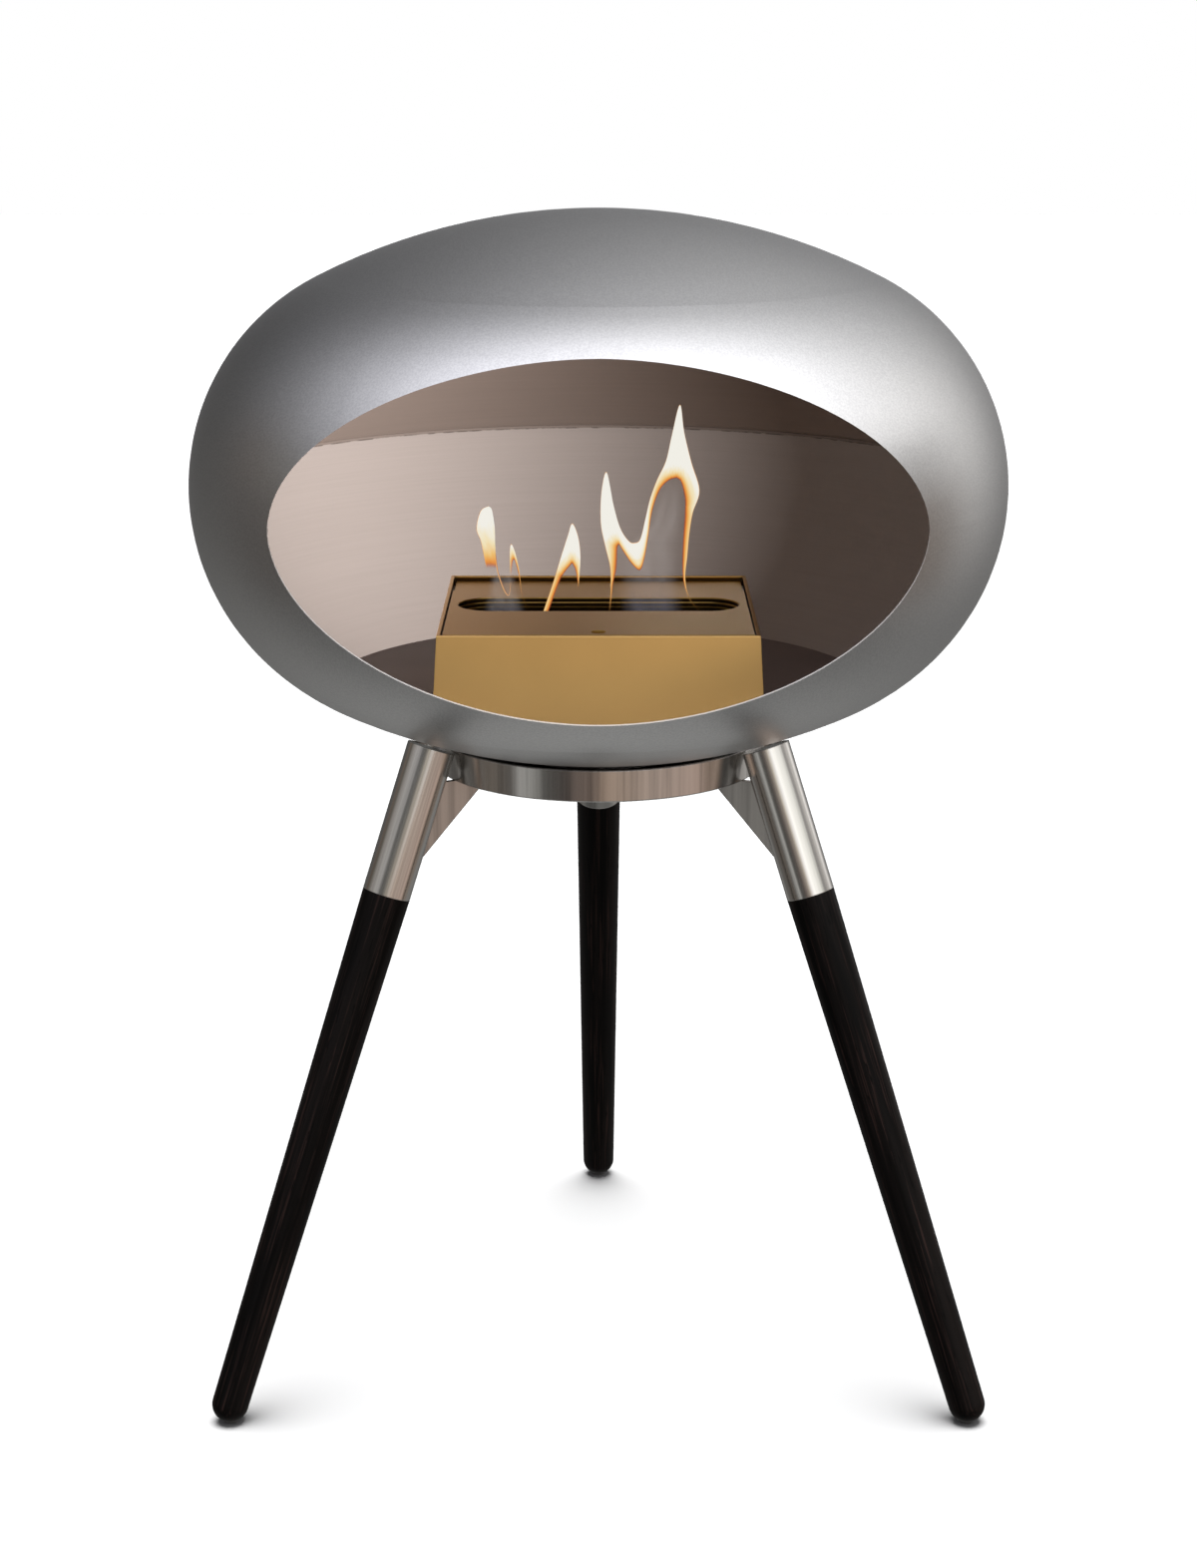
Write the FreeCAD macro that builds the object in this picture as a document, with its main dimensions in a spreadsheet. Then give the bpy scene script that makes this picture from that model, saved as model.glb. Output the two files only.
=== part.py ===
"""Free-standing ethanol hearth: an oval steel dome with an open mouth on a three-legged stand.

The dome turns on a ball race inside a short steel ring. A drop-in burner with a sliding slotted lid
stands on the hearth floor inside it. All sizes are in millimetres. Z is up, the floor is z = 0, the
axis of the dome and of the tripod is x = y = 0, and the mouth faces -Y.
"""
import FreeCAD, Part
import math
import os

import Sketcher

Vector = FreeCAD.Vector

DIMENSIONS = {
    # Dome: two spun shells that meet at the equator. Each half is a side arc run on into a crown arc.
    "dome_radius": 290.0,
    "side_arc": 163.5,
    "crown_arc": 445.0,
    "dome_sheet": 2.5,
    "equator_height": 656.0,
    "mouth_half_width": 215.4,
    "mouth_half_height": 118.1,
    "mouth_fullness": 1.87,
    "seam_band_height": 4.0,
    "seam_band_sheet": 1.0,
    # Hearth floor inside the dome and the ring that carries it.
    "floor_top": 511.3,
    "floor_sheet": 3.0,
    "support_radius": 150.0,
    "support_sheet": 3.0,
    # Ring, plate and ball race under the dome.
    "ring_radius": 119.8,
    "ring_sheet": 3.0,
    "ring_bottom": 453.6,
    "ring_top": 476.4,
    "ring_chamfer": 0.8,
    "base_sheet": 4.0,
    "race_inner": 30.0,
    "race_outer": 46.0,
    "race_sheet": 1.6,
    "ball_radius": 1.75,
    "ball_sink": 0.6,
    "ball_circle": 38.0,
    "groove_play": 0.05,
    "ball_count": 24,
    "hub_radius": 62.0,
    "hub_sheet": 4.0,
    "hub_screw_circle": 54.0,
    "hub_screw_radius": 2.5,
    "hub_screw_count": 6,
    "hub_screw_head": 4.5,
    "bolt_radius": 8.0,
    "bolt_flats": 24.0,
    "bolt_head": 10.0,
    "nut_height": 13.0,
    "bushing_wall": 3.0,
    "bushing_flange": 17.0,
    "flange_sheet": 2.0,
    "running_play": 0.05,
    "hole_play": 0.1,
    "thread_play": 0.02,
    "screw_head_extra": 0.5,
    "bolt_overhang": 2.0,
    "seat_step": 3.0,
    # Legs: a steel socket tube with a tapered wooden leg flush below it.
    "leg_tilt": 20.0,
    "foot_circle": 311.2,
    "foot_radius": 13.15,
    "tube_radius": 17.2,
    "tube_sheet": 1.5,
    "tube_low": 377.6,
    "tube_high": 480.0,
    "tenon_radius": 15.5,
    "tenon_length": 58.0,
    "tenon_chamfer": 2.0,
    "stud_radius": 4.0,
    "stud_depth": 35.0,
    "stud_end_gap": 0.5,
    "plug_gap": 2.0,
    "plug_length": 16.0,
    "cap_sheet": 2.5,
    "cap_sink": 0.5,
    "glide_radius": 5.0,
    "glide_lift": 0.5,
    "glide_height": 1.4,
    "gusset_sheet": 3.5,
    "gusset_reach": 91.0,
    "gusset_low": 398.0,
    # Burner: a tapered housing with a slotted top plate, a fuel tank and a sliding lid.
    "burner_width": 219.8,
    "burner_depth": 213.7,
    "burner_centre": -27.65,
    "burner_top": 574.8,
    "burner_flare": 3.3,
    "burner_wall": 2.5,
    "burner_foot": 2.0,
    "burner_foot_radius": 8.0,
    "base_plate_sheet": 2.0,
    "plate_gap": 1.4,
    "lid_sheet": 3.2,
    "slide_gap": 0.1,
    "edge_bevel": 0.35,
    "slot_length": 200.0,
    "slot_width": 48.0,
    "lid_rear": 22.0,
    "lid_front_gap": 0.8,
    "lid_travel": 50.0,
    "tool_hole_radius": 5.0,
    "tool_hole_place": -121.8,
    "pin_spread": 60.0,
    "pin_place": -112.0,
    "pin_radius": 3.0,
    "pin_head": 5.0,
    "pin_head_height": 2.0,
    "pin_play": 0.2,
    "rail_width": 4.5,
    "rail_height": 14.0,
    "rail_sheet": 1.5,
    "rail_end_gap": 4.0,
    "collar_sheet": 1.5,
    "collar_step": 0.6,
    "collar_bottom": 546.2,
    "tank_width": 200.0,
    "tank_depth": 170.0,
    "tank_sheet": 1.5,
    "tank_mouth_gap": 1.0,
    "wool_height": 24.0,
    "wool_gap": 1.0,
}

LEG_SIDES = {"left": -60.0, "right": 60.0, "rear": 180.0}
MOUTH_POINTS = 64
BURNER_FOOT_SPREAD = 88.0
WELD_GAP = 0.05
TINY = 1e-6

doc = FreeCAD.newDocument("hearth")
sheet = doc.addObject("Spreadsheet::Sheet", "Dims")
for row, (alias, number) in enumerate(DIMENSIONS.items(), start=1):
    sheet.set(f"A{row}", alias)
    sheet.set(f"B{row}", str(number))
    sheet.setAlias(f"B{row}", alias)
doc.recompute()

nodes = []


def dim(alias):
    """The expression that reads one cell of the sheet."""
    return f"Dims.{alias}"


def value(expression):
    """The number that an expression over the sheet comes to."""
    result = sheet.evalExpression(expression)
    return float(getattr(result, "Value", result))


# ---------------------------------------------------------------- shared expressions

SIDE_CENTRE = "(Dims.dome_radius - Dims.side_arc)"
ARC_GAP = "(Dims.crown_arc - Dims.side_arc)"
CROWN_DROP = f"sqrt({ARC_GAP}^2 - {SIDE_CENTRE}^2)"
CROWN_LOW_CENTRE = f"(Dims.equator_height + {CROWN_DROP})"
INNER_CROWN = "(Dims.crown_arc - Dims.dome_sheet)"
BASE_TOP = "(Dims.ring_bottom + Dims.base_sheet)"
BALL_HEIGHT = f"({BASE_TOP} + Dims.race_sheet + Dims.ball_radius - Dims.ball_sink)"
UPPER_RACE_BOTTOM = f"({BALL_HEIGHT} + Dims.ball_radius - Dims.ball_sink)"
UPPER_RACE_TOP = f"({UPPER_RACE_BOTTOM} + Dims.race_sheet)"
BUSHING_RADIUS = "(Dims.bolt_radius + Dims.running_play + Dims.bushing_wall)"
FLOOR_BOTTOM = "(Dims.floor_top - Dims.floor_sheet)"
TILT = "(Dims.leg_tilt * 1deg)"
TUBE_START = f"(Dims.tube_low / cos({TILT}))"
TUBE_END = f"(Dims.tube_high / cos({TILT}))"
TENON_END = f"({TUBE_START} + Dims.tenon_length)"
PLUG_START = f"({TENON_END} + Dims.plug_gap)"
PLUG_END = f"({PLUG_START} + Dims.plug_length)"
SCREW_CIRCLE = "Dims.hub_screw_circle"
SCREW_COUNT = "Dims.hub_screw_count"
SCREW_HOLE = "(Dims.hub_screw_radius + Dims.hole_play)"
BOLT_HOLE = "(Dims.bolt_radius + Dims.hole_play)"
SEAT_INNER = "(Dims.race_inner + Dims.seat_step)"
BURNER_BOTTOM = "(Dims.floor_top + Dims.burner_foot)"
LID_BOTTOM = "(Dims.burner_top - Dims.lid_sheet)"
PLATE_TOP = f"({LID_BOTTOM} - Dims.slide_gap)"
PLATE_BOTTOM = f"({PLATE_TOP} - Dims.lid_sheet)"
BURNER_FRONT = "(Dims.burner_centre - Dims.burner_depth / 2)"
TANK_BOTTOM = f"({BURNER_BOTTOM} + Dims.base_plate_sheet)"


def crown_surface(radius, crown):
    """Height of the lower crown arc's surface at a distance from the axis."""
    return f"({CROWN_LOW_CENTRE} - sqrt({crown}^2 - ({radius})^2))"


HUB_BOTTOM = f"({crown_surface('Dims.hub_radius', INNER_CROWN)} + {WELD_GAP})"
HUB_TOP = f"({HUB_BOTTOM} + Dims.hub_sheet)"


# ---------------------------------------------------------------- modelling helpers


def new_body(label):
    """A PartDesign body that becomes one node."""
    body = doc.addObject("PartDesign::Body", label)
    body.Label = label
    nodes.append(body)
    return body


def new_sketch(body, name, role="XY_Plane", offset="0"):
    """An empty sketch on one of the body's own origin planes, moved along the plane's normal."""
    sketch = body.newObject("Sketcher::SketchObject", f"{body.Name}_{name}")
    plane = next(item for item in body.Origin.OriginFeatures if item.Role == role)
    sketch.AttachmentSupport = [(plane, "")]
    sketch.MapMode = "FlatFace"
    if offset != "0":
        sketch.setExpression(".AttachmentOffset.Base.z", offset)
    return sketch


def bind_point(sketch, geometry, place, axis, expression):
    """Ties one coordinate of a sketch point to the sheet."""
    kind = f"Distance{axis}"
    index = sketch.addConstraint(Sketcher.Constraint(kind, -1, 1, geometry, place, value(expression)))
    sketch.setExpression(f"Constraints[{index}]", expression)


def draw_outline(sketch, corners, centres=None):
    """A closed outline. A stretch whose number is in centres is an arc about that centre."""
    centres = centres or {}
    points = [Vector(value(x), value(y), 0) for x, y in corners]
    ends = []
    for number, start in enumerate(points):
        finish = points[(number + 1) % len(points)]
        if number not in centres:
            ends.append((sketch.addGeometry(Part.LineSegment(start, finish)), 1, 2))
            continue
        centre = Vector(value(centres[number][0]), value(centres[number][1]), 0)
        first, last = start - centre, finish - centre
        clockwise = first.cross(last).z < -TINY
        if clockwise:
            first, last = last, first
        circle = Part.Circle(centre, Vector(0, 0, 1), first.Length)
        arc = Part.ArcOfCircle(circle, math.atan2(first.y, first.x), math.atan2(last.y, last.x))
        index = sketch.addGeometry(arc)
        ends.append((index, 2, 1) if clockwise else (index, 1, 2))
    for number, (index, begin, _) in enumerate(ends):
        before, _, before_end = ends[number - 1]
        sketch.addConstraint(Sketcher.Constraint("Coincident", before, before_end, index, begin))
        bind_point(sketch, index, begin, "X", corners[number][0])
        bind_point(sketch, index, begin, "Y", corners[number][1])
    for number, centre in centres.items():
        chord = points[(number + 1) % len(points)] - points[number]
        axis = "X" if abs(chord.y) >= abs(chord.x) else "Y"
        bind_point(sketch, ends[number][0], 3, axis, centre["XY".index(axis)])


def draw_circle(sketch, radius, x="0", y="0"):
    """A circle with its radius and centre tied to the sheet."""
    centre = Vector(value(x), value(y), 0)
    index = sketch.addGeometry(Part.Circle(centre, Vector(0, 0, 1), value(radius)))
    size = sketch.addConstraint(Sketcher.Constraint("Radius", index, value(radius)))
    sketch.setExpression(f"Constraints[{size}]", radius)
    bind_point(sketch, index, 3, "X", x)
    bind_point(sketch, index, 3, "Y", y)


def draw_rectangle(sketch, half_x, low_y, high_y):
    """A rectangle centred on x = 0."""
    left = f"-({half_x})"
    draw_outline(sketch, [(left, low_y), (half_x, low_y), (half_x, high_y), (left, high_y)])


def draw_slot(sketch, length, width, y):
    """A slot with round ends along X."""
    half, radius = f"({length}) / 2", f"({width}) / 2"
    flat = f"({half} - {radius})"
    low, high = f"({y} - {radius})", f"({y} + {radius})"
    corners = [(f"-{flat}", low), (flat, low), (flat, high), (f"-{flat}", high)]
    draw_outline(sketch, corners, {1: (flat, y), 3: (f"-{flat}", y)})


def revolve(body, sketch):
    """Turns a sketch on the XZ plane about the body's Z axis."""
    feature = body.newObject("PartDesign::Revolution", f"{body.Name}_turned")
    feature.Profile = sketch
    feature.ReferenceAxis = (sketch, ["V_Axis"])
    feature.Angle = 360
    return feature


def pad(body, sketch, length, symmetric=False):
    """Raises a sketch into a solid."""
    feature = body.newObject("PartDesign::Pad", f"{body.Name}_pad")
    feature.Profile = sketch
    feature.setExpression("Length", length)
    if symmetric:
        feature.SideType = "Symmetric"
    return feature


def cut_through(body, sketch, both_sides=True):
    """Cuts a sketch through the body, and makes sure that it removed something."""
    doc.recompute()
    before = body.Shape.Volume
    feature = body.newObject("PartDesign::Pocket", f"{sketch.Name}_cut")
    feature.Profile = sketch
    feature.Type = "ThroughAll"
    if both_sides:
        feature.SideType = "Symmetric"
    else:
        feature.Reversed = True
    doc.recompute()
    if body.Shape.Volume > before - 1:
        raise RuntimeError(f"{feature.Name} cut nothing")
    return feature


def bevel_top(body, height, size):
    """Chamfers every edge of the flat face that looks up at the given height."""
    doc.recompute()
    tip = body.Tip
    found = []
    for number, face in enumerate(tip.Shape.Faces, start=1):
        box = face.BoundBox
        level = box.ZLength < TINY and abs(box.ZMin - height) < TINY
        if level and face.normalAt(0, 0).z > 1 - TINY:
            found.append(f"Face{number}")
    feature = body.newObject("PartDesign::Chamfer", f"{body.Name}_bevel")
    feature.Base = (tip, found)
    feature.setExpression("Size", size)


def hole_circle(body, name, radius, circle, count):
    """A ring of equal through holes about the body's Z axis."""
    sketch = new_sketch(body, name)
    draw_circle(sketch, radius, x=circle)
    hole = cut_through(body, sketch)
    pattern = body.newObject("PartDesign::PolarPattern", f"{body.Name}_{name}_ring")
    pattern.Originals = [hole]
    pattern.Axis = (sketch, ["N_Axis"])
    pattern.Angle = 360
    pattern.setExpression("Occurrences", count)
    body.Tip = pattern


def turned(label, corners, centres=None):
    """A body turned about its own Z axis from an outline of (radius, height) corners."""
    body = new_body(label)
    sketch = new_sketch(body, "outline", "XZ_Plane")
    draw_outline(sketch, corners, centres)
    revolve(body, sketch)
    return body


def turned_band(label, inner, outer, low, high):
    """A plain turned ring or disc."""
    return turned(label, [(inner, low), (outer, low), (outer, high), (inner, high)])


def cylinder(name, radius, height, position):
    """A Part cylinder with its size tied to the sheet."""
    solid = doc.addObject("Part::Cylinder", name)
    solid.setExpression("Radius", radius)
    solid.setExpression("Height", height)
    solid.Placement.Base = position
    return solid


def fused(name, shapes):
    """Several touching solids made into one."""
    joined = doc.addObject("Part::MultiFuse", name)
    joined.Shapes = shapes
    joined.Refine = True
    return joined


def group(label, members):
    """Equal pieces that share one node as separate solids."""
    compound = doc.addObject("Part::Compound", label)
    compound.Label = label
    compound.Links = members
    nodes.append(compound)
    return compound


def ring_positions(radius, count, height):
    """Evenly spaced points on a level circle about the Z axis."""
    turns = [2 * math.pi * number / count for number in range(count)]
    return [Vector(radius * math.cos(turn), radius * math.sin(turn), height) for turn in turns]


# ---------------------------------------------------------------- dome


def shell_outline(sign):
    """Corners and arc centres of one half of the dome, above (+) or below (-) the equator."""
    level = dim("equator_height")
    cosine, sine = f"({SIDE_CENTRE} / {ARC_GAP})", f"({CROWN_DROP} / {ARC_GAP})"
    inner_side = "(Dims.side_arc - Dims.dome_sheet)"
    corners = [
        ("Dims.dome_radius - Dims.dome_sheet", level),
        (dim("dome_radius"), level),
        (f"{SIDE_CENTRE} + Dims.side_arc * {cosine}", f"{level} {sign} Dims.side_arc * {sine}"),
        ("0", f"{level} {sign} (Dims.crown_arc - {CROWN_DROP})"),
        ("0", f"{level} {sign} ({INNER_CROWN} - {CROWN_DROP})"),
        (f"{SIDE_CENTRE} + {inner_side} * {cosine}", f"{level} {sign} {inner_side} * {sine}"),
    ]
    far_side = "-" if sign == "+" else "+"
    crown_centre = ("0", f"{level} {far_side} {CROWN_DROP}")
    side_centre = (SIDE_CENTRE, level)
    return corners, {1: side_centre, 2: crown_centre, 4: crown_centre, 5: side_centre}


def mouth_curve():
    """The mouth's outline seen from the front: an ellipse pulled slightly to points at its sides."""
    half_width, half_height = value(dim("mouth_half_width")), value(dim("mouth_half_height"))
    power = 2 / value(dim("mouth_fullness"))
    level = value(dim("equator_height"))

    def stretch(number):
        return math.copysign(abs(number) ** power, number)

    turns = [2 * math.pi * number / MOUTH_POINTS for number in range(MOUTH_POINTS)]
    points = [
        Vector(half_width * stretch(math.cos(turn)), level + half_height * stretch(math.sin(turn)), 0)
        for turn in turns
    ]
    curve = Part.BSplineCurve()
    curve.interpolate(Points=points, PeriodicFlag=True)
    return curve


def dome_shell(label, sign):
    """One spun half of the dome with its share of the mouth cut straight back from the front."""
    corners, centres = shell_outline(sign)
    body = turned(label, corners, centres)
    mouth = new_sketch(body, "mouth", "XZ_Plane")
    mouth.addGeometry(mouth_curve())
    cut_through(body, mouth, both_sides=False)
    return body


def make_dome():
    """Shells, seam band, hearth floor and its support ring."""
    dome_shell("dome_upper_shell", "+")
    lower = dome_shell("dome_lower_shell", "-")
    hub_hole = new_sketch(lower, "hub_hole")
    draw_circle(hub_hole, f"{BUSHING_RADIUS} + {WELD_GAP}")
    cut_through(lower, hub_hole)
    hole_circle(lower, "screw_holes", SCREW_HOLE, SCREW_CIRCLE, SCREW_COUNT)

    band_outer = f"(Dims.dome_radius - Dims.dome_sheet - 3 * {WELD_GAP})"
    low = "Dims.equator_height - Dims.seam_band_height / 2"
    high = "Dims.equator_height + Dims.seam_band_height / 2"
    band = turned_band("seam_band", f"{band_outer} - Dims.seam_band_sheet", band_outer, low, high)
    band_mouth = new_sketch(band, "mouth", "XZ_Plane")
    band_mouth.addGeometry(mouth_curve())
    cut_through(band, band_mouth, both_sides=False)

    def floor_edge(height):
        return f"(sqrt({INNER_CROWN}^2 - ({CROWN_LOW_CENTRE} - {height})^2) - 2 * {WELD_GAP})"

    corners = [
        ("0", FLOOR_BOTTOM),
        (floor_edge(FLOOR_BOTTOM), FLOOR_BOTTOM),
        (floor_edge(dim("floor_top")), dim("floor_top")),
        ("0", dim("floor_top")),
    ]
    turned("hearth_floor", corners)

    inner = "(Dims.support_radius - Dims.support_sheet)"
    outer = dim("support_radius")
    corners = [
        (inner, f"{crown_surface(inner, INNER_CROWN)} + {WELD_GAP}"),
        (outer, f"{crown_surface(outer, INNER_CROWN)} + {WELD_GAP}"),
        (outer, FLOOR_BOTTOM),
        (inner, FLOOR_BOTTOM),
    ]
    turned("floor_support_ring", corners)


# ---------------------------------------------------------------- swivel


def make_hub():
    """The pieces that carry the dome on the ball race and turn with it."""
    inner = f"{BUSHING_RADIUS} + {WELD_GAP}"
    plate = turned_band("hub_plate", inner, dim("hub_radius"), HUB_BOTTOM, HUB_TOP)
    hole_circle(plate, "screw_holes", SCREW_HOLE, SCREW_CIRCLE, SCREW_COUNT)

    seat_crown = f"(Dims.crown_arc + {WELD_GAP})"
    corners = [
        (SEAT_INNER, UPPER_RACE_TOP),
        (dim("hub_radius"), UPPER_RACE_TOP),
        (dim("hub_radius"), crown_surface("Dims.hub_radius", seat_crown)),
        (SEAT_INNER, crown_surface(SEAT_INNER, seat_crown)),
    ]
    seat = turned("hub_seat", corners, {2: ("0", CROWN_LOW_CENTRE)})
    hole_circle(seat, "screw_holes", SCREW_HOLE, SCREW_CIRCLE, SCREW_COUNT)

    race = turned("upper_race", *race_outline(UPPER_RACE_BOTTOM, UPPER_RACE_TOP, dim("hub_radius"), False))
    hole_circle(race, "screw_holes", SCREW_HOLE, SCREW_CIRCLE, SCREW_COUNT)

    bore, wall = "Dims.bolt_radius + Dims.running_play", BUSHING_RADIUS
    flange = dim("bushing_flange")
    flange_top = f"{HUB_TOP} + Dims.flange_sheet"
    corners = [
        (bore, UPPER_RACE_BOTTOM),
        (wall, UPPER_RACE_BOTTOM),
        (wall, HUB_TOP),
        (flange, HUB_TOP),
        (flange, flange_top),
        (bore, flange_top),
    ]
    turned("hub_bushing", corners)

    screws = []
    shank_length = f"{HUB_TOP} - {UPPER_RACE_BOTTOM}"
    head_height = "Dims.hub_screw_radius + Dims.screw_head_extra"
    places = ring_positions(value(SCREW_CIRCLE), int(value(SCREW_COUNT)), value(UPPER_RACE_BOTTOM))
    for number, place in enumerate(places):
        shank = cylinder(f"hub_shank_{number}", dim("hub_screw_radius"), shank_length, place)
        head_place = Vector(place.x, place.y, value(HUB_TOP))
        head = cylinder(f"hub_head_{number}", dim("hub_screw_head"), head_height, head_place)
        screws.append(fused(f"hub_screw_{number}", [shank, head]))
    group("hub_screws", screws)


def race_outline(low, high, outer, groove_above):
    """A flat race ring with a ball groove in its top or its bottom."""
    groove = "(Dims.ball_radius + Dims.groove_play)"
    surface = high if groove_above else low
    half = f"sqrt({groove}^2 - ({surface} - {BALL_HEIGHT})^2)"
    near, far = f"(Dims.ball_circle - {half})", f"(Dims.ball_circle + {half})"
    centre = (dim("ball_circle"), BALL_HEIGHT)
    inner = dim("race_inner")
    if groove_above:
        corners = [(inner, low), (outer, low), (outer, high), (far, high), (near, high), (inner, high)]
        return corners, {3: centre}
    corners = [(inner, low), (near, low), (far, low), (outer, low), (outer, high), (inner, high)]
    return corners, {1: centre}


def hexagon_body(label, low, height, bore=None):
    """A hexagon nut or bolt head across the bolt's flats."""
    body = new_body(label)
    sketch = new_sketch(body, "hexagon", "XY_Plane", low)
    reach = "(Dims.bolt_flats / sqrt(3))"
    turns = [f"{60 * number + 30}deg" for number in range(6)]
    corners = [(f"{reach} * cos({turn})", f"{reach} * sin({turn})") for turn in turns]
    draw_outline(sketch, corners)
    pad(body, sketch, height)
    if bore:
        hole = new_sketch(body, "bore")
        draw_circle(hole, bore)
        cut_through(body, hole)
    return body


def make_swivel():
    """The ring, plate, race and centre bolt that stay with the stand."""
    inner = "(Dims.ring_radius - Dims.ring_sheet)"
    outer, low, high = dim("ring_radius"), dim("ring_bottom"), dim("ring_top")
    chamfer = dim("ring_chamfer")
    corners = [
        (inner, low),
        (f"{outer} - {chamfer}", low),
        (outer, f"{low} + {chamfer}"),
        (outer, f"{high} - {chamfer}"),
        (f"{outer} - {chamfer}", high),
        (inner, high),
    ]
    turned("base_ring", corners)
    turned_band("base_plate", BOLT_HOLE, f"{inner} - {WELD_GAP}", low, BASE_TOP)
    lower_top = f"({BASE_TOP} + Dims.race_sheet)"
    turned("lower_race", *race_outline(BASE_TOP, lower_top, dim("race_outer"), True))

    balls = []
    places = ring_positions(value(dim("ball_circle")), int(value(dim("ball_count"))), value(BALL_HEIGHT))
    for number, place in enumerate(places):
        ball = doc.addObject("Part::Sphere", f"ball_{number}")
        ball.setExpression("Radius", dim("ball_radius"))
        ball.Placement.Base = place
        balls.append(ball)
    group("race_balls", balls)

    washer_low = f"({HUB_TOP} + Dims.flange_sheet + {WELD_GAP})"
    nut_low = f"({washer_low} + Dims.flange_sheet)"
    bolt = hexagon_body("swivel_bolt", f"{low} - Dims.bolt_head", dim("bolt_head"))
    shank = new_sketch(bolt, "shank", "XY_Plane", low)
    draw_circle(shank, dim("bolt_radius"))
    pad(bolt, shank, f"{nut_low} + Dims.nut_height + Dims.bolt_overhang - {low}")
    turned_band("thrust_washer", BOLT_HOLE, dim("bushing_flange"), washer_low, nut_low)
    hexagon_body("swivel_nut", nut_low, dim("nut_height"), "Dims.bolt_radius + Dims.thread_play")


# ---------------------------------------------------------------- legs


def leg_placement(side):
    """Local Z runs up the leg's axis from the floor, and local X points out from the stand."""
    turn = math.radians(LEG_SIDES[side])
    reach = value(dim("foot_circle"))
    outwards = FreeCAD.Rotation(Vector(0, 0, 1), LEG_SIDES[side] - 90)
    tilt = FreeCAD.Rotation(Vector(0, 1, 0), -value(dim("leg_tilt")))
    return FreeCAD.Placement(Vector(reach * math.sin(turn), -reach * math.cos(turn), 0), outwards * tilt)


def make_leg(side):
    """One leg: wooden leg, socket tube, threaded plug, end cap, gusset and floor glide."""
    place = leg_placement(side)
    tube, bore = dim("tube_radius"), "(Dims.tube_radius - Dims.tube_sheet)"
    centre = f"((Dims.foot_radius + Dims.glide_lift) / cos({TILT}))"
    tenon, chamfer, stud = dim("tenon_radius"), dim("tenon_chamfer"), f"(Dims.stud_radius + {WELD_GAP})"
    corners = [
        ("0", f"{centre} - Dims.foot_radius"),
        (dim("foot_radius"), centre),
        (tube, TUBE_START),
        (tenon, TUBE_START),
        (tenon, f"{TENON_END} - {chamfer}"),
        (f"{tenon} - {chamfer}", TENON_END),
        (stud, TENON_END),
        (stud, f"{TENON_END} - Dims.stud_depth"),
        ("0", f"{TENON_END} - Dims.stud_depth"),
    ]
    leg = turned(f"leg_{side}", corners, {0: ("0", centre)})
    sleeve = turned_band(f"socket_tube_{side}", bore, tube, TUBE_START, TUBE_END)
    plug = turned_band(f"socket_plug_{side}", stud, f"{bore} - {WELD_GAP}", PLUG_START, PLUG_END)
    cap_top = f"({TUBE_END} - Dims.cap_sink)"
    cap_low = f"{cap_top} - Dims.cap_sheet"
    cap = turned_band(f"socket_cap_{side}", "0", f"{bore} - {WELD_GAP}", cap_low, cap_top)
    for piece in (leg, sleeve, plug, cap):
        piece.Placement = place

    def tube_inside(height):
        axis = f"Dims.foot_circle - {height} * tan({TILT})"
        return f"({axis} - Dims.tube_radius / cos({TILT}) - {WELD_GAP})"

    gusset = new_body(f"gusset_{side}")
    sketch = new_sketch(gusset, "outline", "XZ_Plane")
    top, low = f"({dim('ring_bottom')} - {WELD_GAP})", dim("gusset_low")
    draw_outline(sketch, [(tube_inside(low), low), (tube_inside(top), top), (dim("gusset_reach"), top)])
    pad(gusset, sketch, dim("gusset_sheet"), symmetric=True)
    gusset.Placement.Rotation = FreeCAD.Rotation(Vector(0, 0, 1), LEG_SIDES[side] - 90)

    lift = value("Dims.foot_radius + Dims.glide_lift")
    reach = value(f"Dims.foot_circle - (Dims.foot_radius + Dims.glide_lift) * tan({TILT})")
    turn = math.radians(LEG_SIDES[side])
    under = Vector(reach * math.sin(turn), -reach * math.cos(turn), 0)
    disc = cylinder(f"glide_disc_{side}", dim("glide_radius"), dim("glide_height"), under)
    hollow = doc.addObject("Part::Sphere", f"glide_hollow_{side}")
    hollow.setExpression("Radius", f"Dims.foot_radius + {WELD_GAP}")
    hollow.Placement.Base = under + Vector(0, 0, lift)
    glide = doc.addObject("Part::Cut", f"glide_{side}")
    glide.Label = f"glide_{side}"
    glide.Base = disc
    glide.Tool = hollow
    nodes.append(glide)


def make_leg_studs():
    """One threaded stud joins each wooden leg to its plug."""
    studs = []
    length = f"Dims.stud_depth + {PLUG_END} - {TENON_END}"
    start = Vector(0, 0, value(f"{TENON_END} - Dims.stud_depth + Dims.stud_end_gap"))
    for side in LEG_SIDES:
        stud = cylinder(f"leg_stud_{side}", dim("stud_radius"), length, Vector())
        stud.Placement = leg_placement(side).multiply(FreeCAD.Placement(start, FreeCAD.Rotation()))
        studs.append(stud)
    group("leg_studs", studs)


# ---------------------------------------------------------------- burner


def flared(edge, height):
    """Moves a half size outwards as the burner's walls lean out towards the bottom."""
    return f"({edge} + (Dims.burner_top - {height}) * tan(Dims.burner_flare * 1deg))"


def burner_rectangle(body, name, height, inset):
    """A level section of the tapered housing, shrunk by an inset."""
    half_x = f"({flared('Dims.burner_width / 2', height)} - {inset})"
    half_y = f"({flared('Dims.burner_depth / 2', height)} - {inset})"
    sketch = new_sketch(body, name, "XY_Plane", height)
    draw_rectangle(sketch, half_x, f"Dims.burner_centre - {half_y}", f"Dims.burner_centre + {half_y}")
    return sketch


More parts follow.
